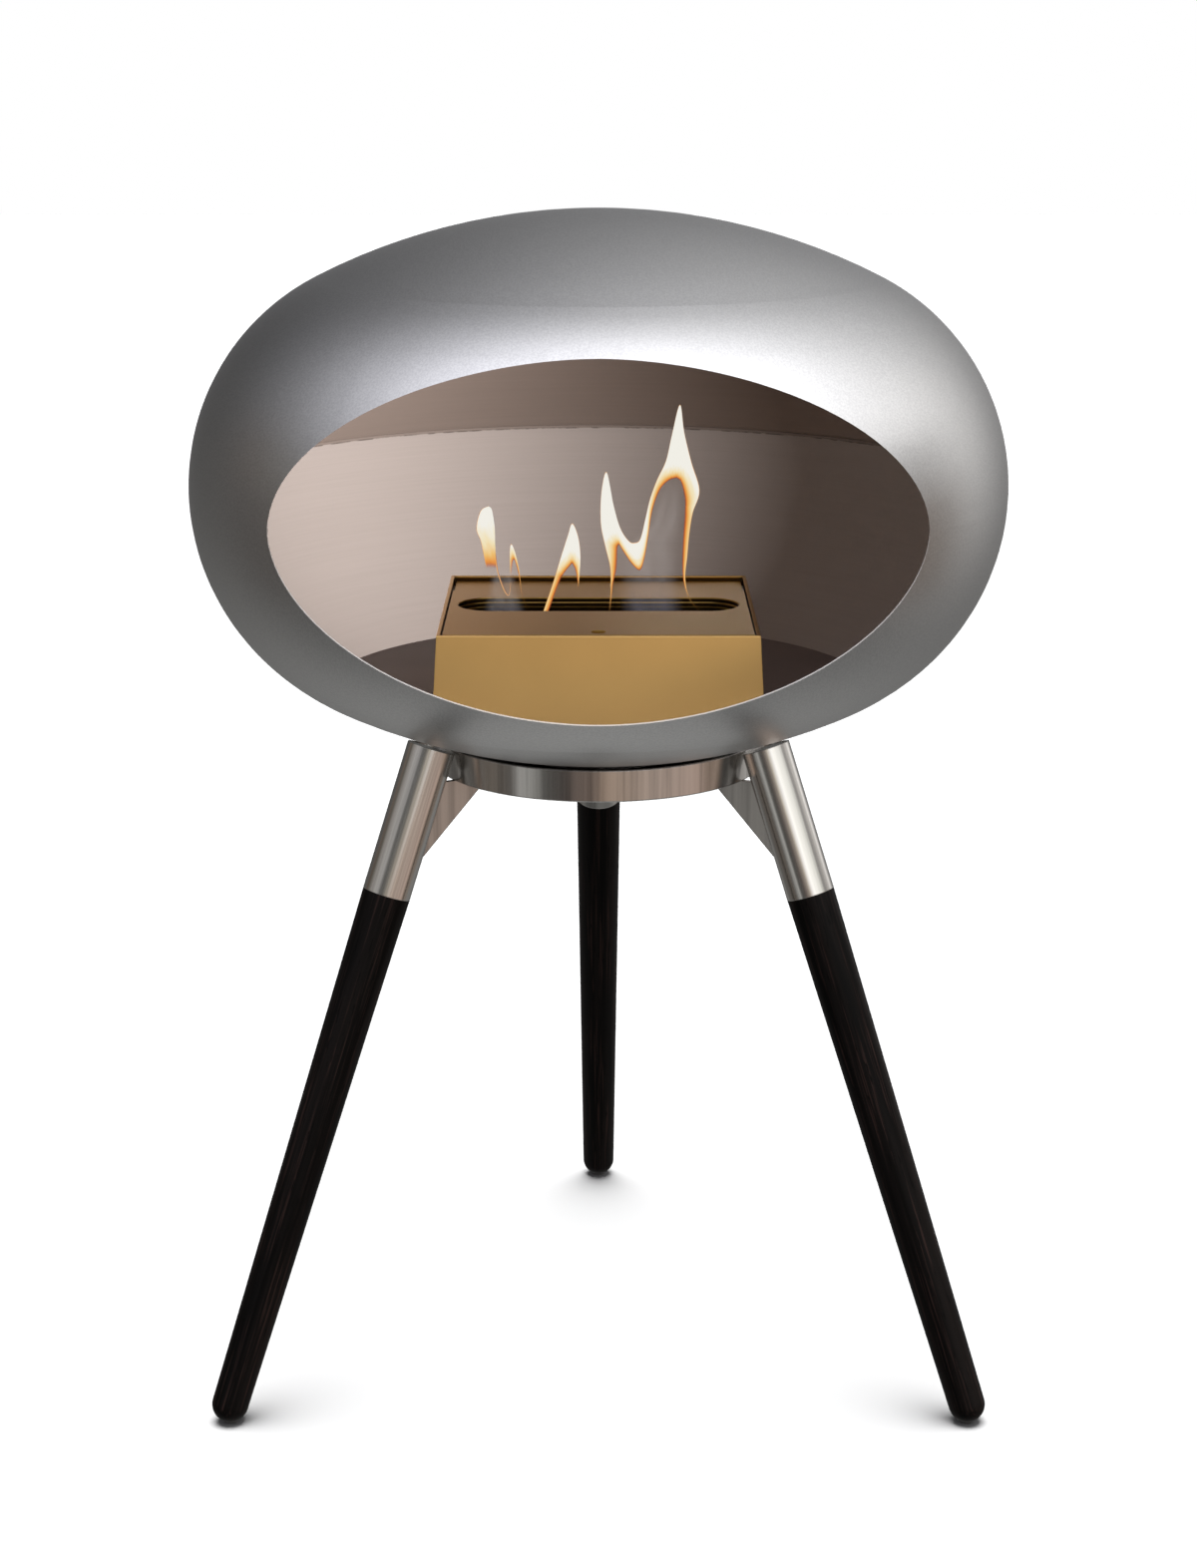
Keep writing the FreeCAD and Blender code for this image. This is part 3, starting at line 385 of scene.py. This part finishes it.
# ---------------------------------------------------------------- flames
# Each flame is a ribbon bent into a tongue: (outer x, z) and (inner x, z) in millimetres from the middle of
# the lid's slot, along its way from one foot to the other.
TALL_FLAME = (
    ((7, -3), (8, -3)), ((8, 6), (9, 6)), ((8.5, 19), (10.5, 19)), ((8, 31), (13, 30)),
    ((4.7, 45), (13.5, 43)), ((1.5, 62), (14.2, 46)), ((2, 84), (14.5, 46)), ((5.6, 98), (14.8, 46)),
    ((10.2, 76), (15.3, 45)), ((15, 59), (17.7, 41)), ((21, 49.5), (23.4, 32.6)),
    ((25.4, 48), (29, 28)), ((29.4, 51), (32, 35)), ((33, 66), (34.6, 50)), ((36, 79), (37.6, 70)),
    ((40.6, 92), (43, 85)), ((47, 106), (49, 91.5)), ((51, 124), (53, 93)),
    ((56.4, 145), (54.3, 93.2)), ((59.5, 126), (55.2, 92.8)), ((64.7, 105), (57.6, 90)),
    ((70.6, 85), (60, 79)), ((66, 69), (60, 68)), ((63.7, 54), (59.3, 56)), ((62.4, 38), (58.7, 40)),
    ((61.1, 24), (59.1, 25)), ((62.6, 13), (61, 15)), ((66.3, 5), (65, 6)), ((73, -2), (72, -2)),
)
MIDDLE_FLAME = (
    ((-40, -4), (-36, -4)), ((-32.2, 19), (-27.6, 19)), ((-26.7, 37), (-24, 26)),
    ((-21.6, 53), (-19, 32.4)), ((-18.4, 61.7), (-18.5, 32.6)), ((-14.4, 53), (-18, 32)),
    ((-12.7, 40), (-16.3, 28)), ((-13.2, 27), (-15, 21)), ((-14.2, 14), (-14.7, 15)),
)
BULB_FLAME = (
    ((-80, 22), (-73, 22)), ((-82, 33), (-73.4, 33)), ((-84, 43), (-73.7, 43)), ((-87, 52), (-74, 54)),
    ((-84, 64.5), (-75.8, 65.5)), ((-78.3, 68.2), (-78, 67.9)),
)
BULB_TRAIL = (
    ((-74.9, 38), (-73.4, 38)), ((-72.8, 22.5), (-71.8, 22.5)), ((-70.7, 14.4), (-69.7, 15)),
    ((-67.5, 6.3), (-66.8, 7.3)), ((-64.6, 3.2), (-64.6, 4.2)), ((-63, 7.6), (-63.6, 8.2)),
    ((-62.4, 17.6), (-62.9, 17.6)),
)
SMALL_FLAME = (
    ((-63.7, 16), (-62, 16)), ((-63.4, 34), (-61.2, 27.5)), ((-62.2, 41), (-60, 29)),
    ((-59.5, 35), (-59, 26.5)), ((-57, 24), (-57.7, 21)), ((-55.8, 15), (-56.5, 15)),
    ((-54.5, 4), (-55, 4.4)), ((-50, -8), (-50.6, -8)),
)
TALL_VEIL = (  # faint gas between the legs of the tall flame
    ((15, -8), (62, -8)), ((14, 6), (60.5, 6)), ((14, 20), (59, 20)), ((14.5, 34), (58.7, 34)),
    ((16, 42), (58.9, 48)), ((33, 58), (59.2, 62)), ((38, 72), (59.6, 75)), ((44, 84), (58.5, 86)),
    ((50, 91), (56, 91)),
)
LOW_VEIL = (  # faint gas between the bulb and the small flame
    ((-84, -10), (-50, -10)), ((-82, 0), (-53, 0)), ((-80, 10), (-56, 10)), ((-77, 20), (-59, 20)),
    ((-74, 27), (-61, 27)),
)
FRONT_OF_SLOT, BACK_OF_SLOT = 0.12, 0.76  # share of the slot's depth at which a flame stands
TALL_VEIL_IN_SLOT, LOW_VEIL_IN_SLOT = 0.3, 0.6  # the same for the gas
FLAME_STEPS = 6  # rows of the mesh between two points of an outline
FLAME_COLUMNS = 8  # columns of the mesh on each of its two sides
FLAME_SWELL, VEIL_SWELL = 0.28, 0.05  # how thick a ribbon is, for its width
NARROW_FLAME = 5.0  # millimetres; a narrower flame takes its inner colours as if it were this wide
BULB_HEEL = 22.0  # millimetres above the lid; the bulb fades with its height over this, not across its width
HEEL_FADE = 0.3  # how fast it does so
MM_PER_METRE = 1000.0
CM_PER_MM = 0.1


def catmull_rom(a, b, c, d, t):
    """One coordinate of the curve, t of the way from b to c, with a before and d after them."""
    bend = 2 * a - 5 * b + 4 * c - d
    twist = 3 * b - a - 3 * c + d
    return 0.5 * (2 * b + (c - a) * t + bend * t * t + twist * t ** 3)


def smooth_through(points, steps):
    """A smooth curve through the points, with this many steps between two of them."""
    padded = [points[0], *points, points[-1]]
    smooth = [
        tuple(catmull_rom(*four, step / steps) for four in zip(before, start, end, after))
        for before, start, end, after in zip(padded, padded[1:], padded[2:], padded[3:])
        for step in range(steps)
    ]
    return [*smooth, tuple(points[-1])]


def gas_material(name):
    """An empty material with its tree and the two sets of coordinates that every flame's mesh has."""
    material = bpy.data.materials.new(name)
    material.use_nodes = True
    tree = material.node_tree
    tree.nodes.clear()
    across_along = add(tree, "ShaderNodeUVMap", uv_map="across_along").outputs[0]
    rims = add(tree, "ShaderNodeUVMap", uv_map="rims").outputs[0]
    return material, tree, across_along, rims


def glow_where(tree, opacity, colour):
    """Ends a tree with light of this colour where opacity is 1, and nothing where it is 0."""
    glow = add(tree, "ShaderNodeEmission", {0: colour, 1: 1.0})
    clear = tree.nodes.new("ShaderNodeBsdfTransparent")
    shown = add(tree, "ShaderNodeMixShader", {0: opacity, 1: clear.outputs[0], 2: glow.outputs[0]})
    add(tree, "ShaderNodeOutputMaterial", {0: shown.outputs[0]})


def flame_material(name, foot, top, strength=1.0):
    """White core, thin orange outer rim, and a yellow, orange and red inner edge; clear at its two ends."""
    material, tree, across_along, rims = gas_material(name)
    along = component(tree, across_along, "Y")
    outer, inner = component(tree, rims, "X"), component(tree, rims, "Y")
    wisps = noise(tree, rims, scale=2.2)
    depth = maths(tree, "MULTIPLY", inner, maths(tree, "MULTIPLY_ADD", wisps, 0.8, 0.6))
    colour = ramp(tree, depth, (
        (0.0, (0.20, 0.035, 0.02)), (0.08, (0.42, 0.09, 0.03)), (0.17, (0.78, 0.27, 0.045)),
        (0.33, (0.84, 0.52, 0.17)), (0.58, (0.87, 0.75, 0.48)), (1.0, (0.88, 0.86, 0.79)),
    ))
    colour = mix_colour(tree, span(tree, outer, 0.07, 0.01), colour, (0.86, 0.42, 0.11))
    solid = maths(tree, "MULTIPLY", span(tree, outer, 0.0, 0.03), span(tree, depth, 0.0, 0.13))
    ends = maths(tree, "MULTIPLY", span(tree, along, 0.0, foot), span(tree, along, 1.0, 1.0 - top))
    opacity = maths(tree, "MULTIPLY", maths(tree, "MULTIPLY", solid, ends), strength)
    glow_where(tree, opacity, colour)
    return material


def veil_material(name):
    """Faint grey-white gas under the arches, a little bluer close to the slot."""
    material, tree, across_along, _ = gas_material(name)
    across, along = component(tree, across_along, "X"), component(tree, across_along, "Y")
    wisps = noise(tree, across_along, scale=5.0, detail=3.0)
    colour = mix_colour(tree, span(tree, along, 0.0, 0.35), (0.30, 0.29, 0.36), (0.50, 0.46, 0.44))
    sides = maths(tree, "MULTIPLY", span(tree, across, 0.0, 0.3), span(tree, across, 1.0, 0.7))
    ends = maths(tree, "MULTIPLY", span(tree, along, 0.0, 0.05), span(tree, along, 1.0, 0.6))
    faint = maths(tree, "MULTIPLY_ADD", wisps, 0.16, 0.02)
    glow_where(tree, maths(tree, "MULTIPLY", maths(tree, "MULTIPLY", sides, ends), faint), colour)
    return material


def flame_skin(outline, middle_y, swell, heel):
    """Points of a hollow lens-shaped ribbon round an outline, ring by ring, with two coordinates for each.

    The first pair is the share of the way across and along; the second is the distance in centimetres from
    the outer edge, and from the inner edge or, where a heel is given, from that height.
    """
    outer = smooth_through([pair[0] for pair in outline], FLAME_STEPS)
    inner = smooth_through([pair[1] for pair in outline], FLAME_STEPS)
    ring = [(c / FLAME_COLUMNS, -1.0) for c in range(FLAME_COLUMNS)]
    ring += [(1.0 - c / FLAME_COLUMNS, 1.0) for c in range(FLAME_COLUMNS)]
    corners, across_along, rims = [], [], []
    for row, ((outer_x, outer_z), (inner_x, inner_z)) in enumerate(zip(outer, inner)):
        width = math.dist((outer_x, outer_z), (inner_x, inner_z))
        for share, side in ring:
            x = outer_x + (inner_x - outer_x) * share
            z = outer_z + (inner_z - outer_z) * share
            bulge = side * swell * width * math.sqrt(share * (1.0 - share))
            corners.append((x / MM_PER_METRE, middle_y + bulge / MM_PER_METRE, LID_TOP + z / MM_PER_METRE))
            across_along.append((share, row / (len(outer) - 1)))
            if heel is None:
                inner_rim = (1.0 - share) * max(width, NARROW_FLAME)
            else:
                inner_rim = HEEL_FADE * (z - heel)
            rims.append((share * width * CM_PER_MM, inner_rim * CM_PER_MM))
    return corners, across_along, rims


def build_flame(name, outline, depth_in_slot, glow, swell=FLAME_SWELL, heel=None):
    """One tongue of flame, which stands in the slot and is attached to the burner."""
    middle_y = SLOT_LOW.y + (SLOT_HIGH.y - SLOT_LOW.y) * depth_in_slot
    corners, across_along, rims = flame_skin(outline, middle_y, swell, heel)
    around = 2 * FLAME_COLUMNS
    faces = [
        (ring + k, ring + (k + 1) % around, ring + around + (k + 1) % around, ring + around + k)
        for ring in range(0, len(corners) - around, around) for k in range(around)
    ]
    mesh = bpy.data.meshes.new(name)
    mesh.from_pydata(corners, [], faces)
    for layer_name, values in (("across_along", across_along), ("rims", rims)):
        layer = mesh.uv_layers.new(name=layer_name)
        for loop in mesh.loops:
            layer.data[loop.index].uv = values[loop.vertex_index]
    mesh.polygons.foreach_set("use_smooth", [True] * len(mesh.polygons))
    mesh.materials.append(glow)
    flame = bpy.data.objects.new(name, mesh)
    bpy.context.scene.collection.objects.link(flame)
    flame.visible_shadow = False
    flame.visible_glossy = False
    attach(flame, "burner")
    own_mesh(flame)


def build_flames():
    """Five tongues of flame in the slot, and the faint gas under their arches."""
    tall = flame_material("flame_tall_glow", foot=0.10, top=0.12)
    middle = flame_material("flame_middle_glow", foot=0.04, top=0.14)
    bulb = flame_material("flame_bulb_glow", foot=0.16, top=0.0001)
    trail = flame_material("flame_trail_glow", foot=0.12, top=0.25, strength=0.6)
    small = flame_material("flame_small_glow", foot=0.2, top=0.45, strength=0.9)
    build_flame("flame_tall", TALL_FLAME, FRONT_OF_SLOT, tall)
    build_flame("flame_middle", MIDDLE_FLAME, FRONT_OF_SLOT, middle)
    build_flame("flame_bulb", BULB_FLAME, BACK_OF_SLOT, bulb, heel=BULB_HEEL)
    build_flame("flame_trail", BULB_TRAIL, BACK_OF_SLOT, trail)
    build_flame("flame_small", SMALL_FLAME, BACK_OF_SLOT, small)
    build_flame("veil_tall", TALL_VEIL, TALL_VEIL_IN_SLOT, veil_material("veil_tall_glow"), swell=VEIL_SWELL)
    build_flame("veil_low", LOW_VEIL, LOW_VEIL_IN_SLOT, veil_material("veil_low_glow"), swell=VEIL_SWELL)


# ---------------------------------------------------------------- studio
SOFT_LIGHTS = (  # azimuth, elevation, tightness, colour times strength: one light to a line
    (52, 54, 9, (2.25, 2.25, 2.27)),  # large softbox, high in front on the right
    (-5, 56, 12, (1.20, 1.20, 1.30)),  # fill high above the camera
    (-50, 50, 12, (1.08, 1.08, 1.17)),  # weaker fill, upper left
    (-95, 32, 14, (0.14, 0.14, 0.14)),  # edge light on the left
    (-120, -15, 12, (0.07, 0.066, 0.06)),  # low bounce on the left
    (105, 10, 16, (1.30, 1.27, 1.23)),  # edge light on the right
    (150, 40, 12, (0.40, 0.40, 0.40)),  # soft light behind, right
    (20, -20, 6, (0.12, 0.12, 0.115)),  # bounce from the floor in front
    (180, -65, 6, (0.39, 0.39, 0.38)),  # bounce from the floor behind
)
LOW_STRIPS = (  # azimuth and colour of what the steel below the dome mirrors just under the horizon
    (-140, (0.12, 0.10, 0.09)), (-110, (0.08, 0.07, 0.065)), (-80, (0.16, 0.14, 0.12)),
    (-62, (0.12, 0.11, 0.10)), (-57, (0.45, 0.45, 0.44)), (-45, (0.48, 0.48, 0.46)),
    (-40, (0.08, 0.08, 0.075)), (-22, (0.08, 0.07, 0.065)), (-15, (0.19, 0.15, 0.13)),
    (-1, (0.17, 0.13, 0.11)), (4, (0.42, 0.32, 0.25)), (40, (0.52, 0.42, 0.36)),
    (72, (0.52, 0.40, 0.34)), (82, (0.25, 0.19, 0.15)), (105, (0.17, 0.13, 0.10)),
    (125, (0.09, 0.08, 0.07)),
)
HIGH_STRIPS = (  # the same just above the horizon
    (-140, (0.15, 0.12, 0.10)), (-120, (0.13, 0.075, 0.045)), (-100, (0.16, 0.15, 0.13)),
    (-80, (0.26, 0.245, 0.23)), (-60, (0.38, 0.37, 0.35)), (-42, (0.36, 0.35, 0.34)),
    (-34, (0.09, 0.09, 0.08)), (-20, (0.10, 0.10, 0.09)), (-10, (0.3, 0.28, 0.25)),
    (0, (0.6, 0.55, 0.45)), (12, (1.2, 1.2, 1.2)), (22, (1.35, 1.35, 1.3)), (40, (1.0, 1.0, 0.95)),
    (62, (0.8, 0.8, 0.75)), (76, (0.25, 0.24, 0.23)), (84, (0.27, 0.26, 0.25)),
    (100, (0.5, 0.48, 0.46)), (125, (0.6, 0.6, 0.6)),
)
CAVITY_LIGHTS = (  # place, azimuth and elevation of its aim, watts on the lower and on the upper lining
    ((-0.06, 0.04, 0.68), -138, -5, 1.05, 0.0),
    ((-0.02, -0.02, 0.70), 110, -20, 0.07, 0.0),
    ((-0.08, 0.05, 0.73), -138, -8, 0.0, 0.54),
    ((-0.10, 0.00, 0.76), -90, -80, 0.0, 0.12),
)
CAVITY_LAMP_SIZE = (0.09, 0.09)
HEARTH_LAMP, HEARTH_LAMP_SIZE, HEARTH_WATTS = (0.15, 0.0, 0.76), (0.3, 0.1), 0.20
BURNER_PANELS = (  # place, width and height, watts of the soft panels that only the burner sees
    ((0.15, -1.25, 0.20), (1.7, 0.8), 0.87, ("burner_housing",)),
    ((0.50, 0.95, 0.90), (1.1, 0.6), 0.50, ("top_plate", "sliding_lid", "lid_pins")),
)
# The strips show between these limits, each from nothing to all of it. The first two and the horizon, where
# the low strips turn into the high ones, are sines of the elevation; the last is an azimuth to either side.
STRIPS_BEGIN, STRIPS_END, HORIZON = (-0.52, -0.42), (0.38, 0.24), (-0.03, 0.08)
STRIPS_TO_THE_SIDE = (math.radians(125.0), math.radians(105.0))
FLOOR_HALF_WIDTH = 12.0
FLOOR_DROP = 0.0004  # keeps the floor clear of the feet that stand on it
FLOOR_GREYS = (0.120, 0.120, 0.120), (0.122, 0.122, 0.122)
SUN_PLACE, SUN_SPREAD, SUN_STRENGTH = (0.0, 0.0, 2.0), math.radians(42.0), 27.6
CAMERA_PLACE, CAMERA_TILT = (0.0, -2.0638, 0.9913), math.radians(15.0936)
LENS, SENSOR = 66.886, 36.0  # millimetres


def towards(azimuth, elevation):
    """Unit vector in this direction, both in degrees."""
    a, e = math.radians(azimuth), math.radians(elevation)
    return Vector((math.sin(a) * math.cos(e), -math.cos(a) * math.cos(e), math.sin(e)))


def soft_glow(tree, direction):
    """The sum of the soft lights, each a lobe round its own direction."""
    glow = (0.0, 0.0, 0.0)
    for azimuth, elevation, tightness, colour in SOFT_LIGHTS:
        facing = vector_maths(tree, "DOT_PRODUCT", direction, tuple(towards(azimuth, elevation)), output=1)
        lobe = maths(tree, "POWER", maths(tree, "MULTIPLY_ADD", facing, 0.5, 0.5, clamp=True), tightness)
        lit = {0: lobe, 1: colour, 2: glow}
        glow = add(tree, "ShaderNodeVectorMath", lit, operation="MULTIPLY_ADD").outputs[0]
    return glow


def build_world():
    """Soft studio surroundings: large soft lights above, strip lights and dark flags near the horizon."""
    world = bpy.data.worlds.new("studio")
    bpy.context.scene.world = world
    world.use_nodes = True
    tree = world.node_tree
    tree.nodes.clear()
    direction = tree.nodes.new("ShaderNodeTexCoord").outputs["Generated"]
    up = component(tree, direction, "Z")
    mouthwards = maths(tree, "MULTIPLY", component(tree, direction, "Y"), -1.0)
    azimuth = maths(tree, "ARCTAN2", component(tree, direction, "X"), mouthwards)
    turn = maths(tree, "MULTIPLY_ADD", azimuth, 0.5 / math.pi, 0.5)
    low, high = (ramp(tree, turn, [(degrees / 360.0 + 0.5, colour) for degrees, colour in band])
                 for band in (LOW_STRIPS, HIGH_STRIPS))
    strips = mix_colour(tree, span(tree, up, *HORIZON), low, high)
    level = maths(tree, "MULTIPLY", span(tree, up, *STRIPS_BEGIN), span(tree, up, *STRIPS_END))
    front = span(tree, maths(tree, "ABSOLUTE", azimuth), *STRIPS_TO_THE_SIDE)
    studio = mix_colour(tree, maths(tree, "MULTIPLY", level, front), soft_glow(tree, direction), strips)
    around = add(tree, "ShaderNodeBackground", {0: studio, 1: 1.0}).outputs[0]
    white = add(tree, "ShaderNodeBackground", {0: (1.0, 1.0, 1.0, 1.0), 1: 1.0}).outputs[0]
    seen = tree.nodes.new("ShaderNodeLightPath").outputs["Is Camera Ray"]
    shown = add(tree, "ShaderNodeMixShader", {0: seen, 1: around, 2: white}).outputs[0]
    add(tree, "ShaderNodeOutputWorld", {0: shown})


def group(name, nodes):
    """A collection of CAD nodes for a light to reach, or to be shaded by."""
    made = bpy.data.collections.new(name)
    for node in nodes:
        made.objects.link(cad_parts[node])
    return made


def hang_lamp(name, light, place, lit, blocking):
    """Hangs a light that reaches only the lit collection and is shaded only by the blocking one."""
    lamp = bpy.data.objects.new(name, light)
    lamp.location = place
    bpy.context.scene.collection.objects.link(lamp)
    lamp.light_linking.receiver_collection = lit
    lamp.light_linking.blocker_collection = blocking
    return lamp


def build_floor():
    """A pale floor that only the camera sees, lit by a wide sun of its own that only the legs shade."""
    half = FLOOR_HALF_WIDTH
    corners = [(-half, -half, 0), (half, -half, 0), (half, half, 0), (-half, half, 0)]
    mesh = bpy.data.meshes.new("studio_floor")
    mesh.from_pydata(corners, [], [(0, 1, 2, 3)])
    floor = bpy.data.objects.new("studio_floor", mesh)
    bpy.context.scene.collection.objects.link(floor)
    floor.location.z = -FLOOR_DROP
    material, tree, shader, place, _ = new_material("studio_floor")
    tone = mix_colour(tree, noise(tree, place, scale=3.0), *FLOOR_GREYS)
    tree.links.new(tone, shader.inputs["Base Color"])
    shader.inputs["Roughness"].default_value = 1.0
    shader.inputs["Specular IOR Level"].default_value = 0.0
    mesh.materials.append(material)
    for kind in ("diffuse", "glossy", "transmission", "volume_scatter", "shadow"):
        setattr(floor, f"visible_{kind}", False)
    lit_only = bpy.data.collections.new("floor_only")
    lit_only.objects.link(floor)
    feet = [f"{part}_{side}" for side in LEG_AZIMUTHS for part in ("leg", "glide")]
    sun = bpy.data.lights.new("overhead", "SUN")
    sun.angle = SUN_SPREAD
    sun.energy = SUN_STRENGTH
    hang_lamp("overhead", sun, SUN_PLACE, lit_only, group("floor_shadows", feet))


def soft_lamp(name, place, aim, size, watts, lit, blocking, glossy=False):
    """An area light: a disc if its width and height are equal, else a rectangle."""
    light = bpy.data.lights.new(name, "AREA")
    light.shape = "ELLIPSE" if size[0] == size[1] else "RECTANGLE"
    light.size, light.size_y = size
    light.energy = watts
    light.cycles.use_multiple_importance_sampling = False
    lamp = hang_lamp(name, light, place, lit, blocking)
    lamp.rotation_euler = Vector(aim).to_track_quat("-Z", "Y").to_euler()
    lamp.visible_camera = False
    lamp.visible_glossy = glossy


def build_inner_lights():
    """Soft lights of the dome's lining and hearth floor."""
    lower = group("lining_lower", ("dome_lower_shell", "seam_band"))
    upper = group("lining_upper", ("dome_upper_shell",))
    hearth = group("hearth", ("hearth_floor",))
    shells = group("shells", ("dome_lower_shell", "hearth_floor", "seam_band", "dome_upper_shell"))
    for number, (place, azimuth, elevation, low_watts, high_watts) in enumerate(CAVITY_LIGHTS):
        aim = towards(azimuth, elevation)
        for lining, lit, watts in (("lower", lower, low_watts), ("upper", upper, high_watts)):
            if watts:
                soft_lamp(f"cavity_{lining}_{number}", place, aim, CAVITY_LAMP_SIZE, watts, lit, shells)
    down = Vector((0, 0, -1))
    soft_lamp("hearth_lamp", HEARTH_LAMP, down, HEARTH_LAMP_SIZE, HEARTH_WATTS, hearth, shells)


def build_burner_panels():
    """Soft panels that the burner's gold metal mirrors."""
    metal = group("burner_metal", ("burner_housing", "top_plate", "slot_collar", "sliding_lid", "lid_pins"))
    for number, (place, size, watts, nodes) in enumerate(BURNER_PANELS):
        aim = Vector(SLOT_CENTRE) - Vector(place)
        lit = group(f"panel_{number}_lit", nodes)
        soft_lamp(f"burner_panel_{number}", place, aim, size, watts, lit, metal, glossy=True)


def build_camera():
    """The camera, in front of the mouth and looking slightly down."""
    data = bpy.data.cameras.new("camera")
    data.lens = LENS
    data.sensor_width = SENSOR
    camera = bpy.data.objects.new("camera", data)
    camera.location = CAMERA_PLACE
    camera.rotation_euler = (math.radians(90.0) - CAMERA_TILT, 0.0, 0.0)
    bpy.context.scene.collection.objects.link(camera)
    bpy.context.scene.camera = camera


build_camera()
dress_dome()
dress_stand()
dress_burner()
dress_hidden_metal()
build_flames()
build_world()
build_floor()
build_inner_lights()
build_burner_panels()
bpy.context.scene.view_settings.view_transform = "Standard"
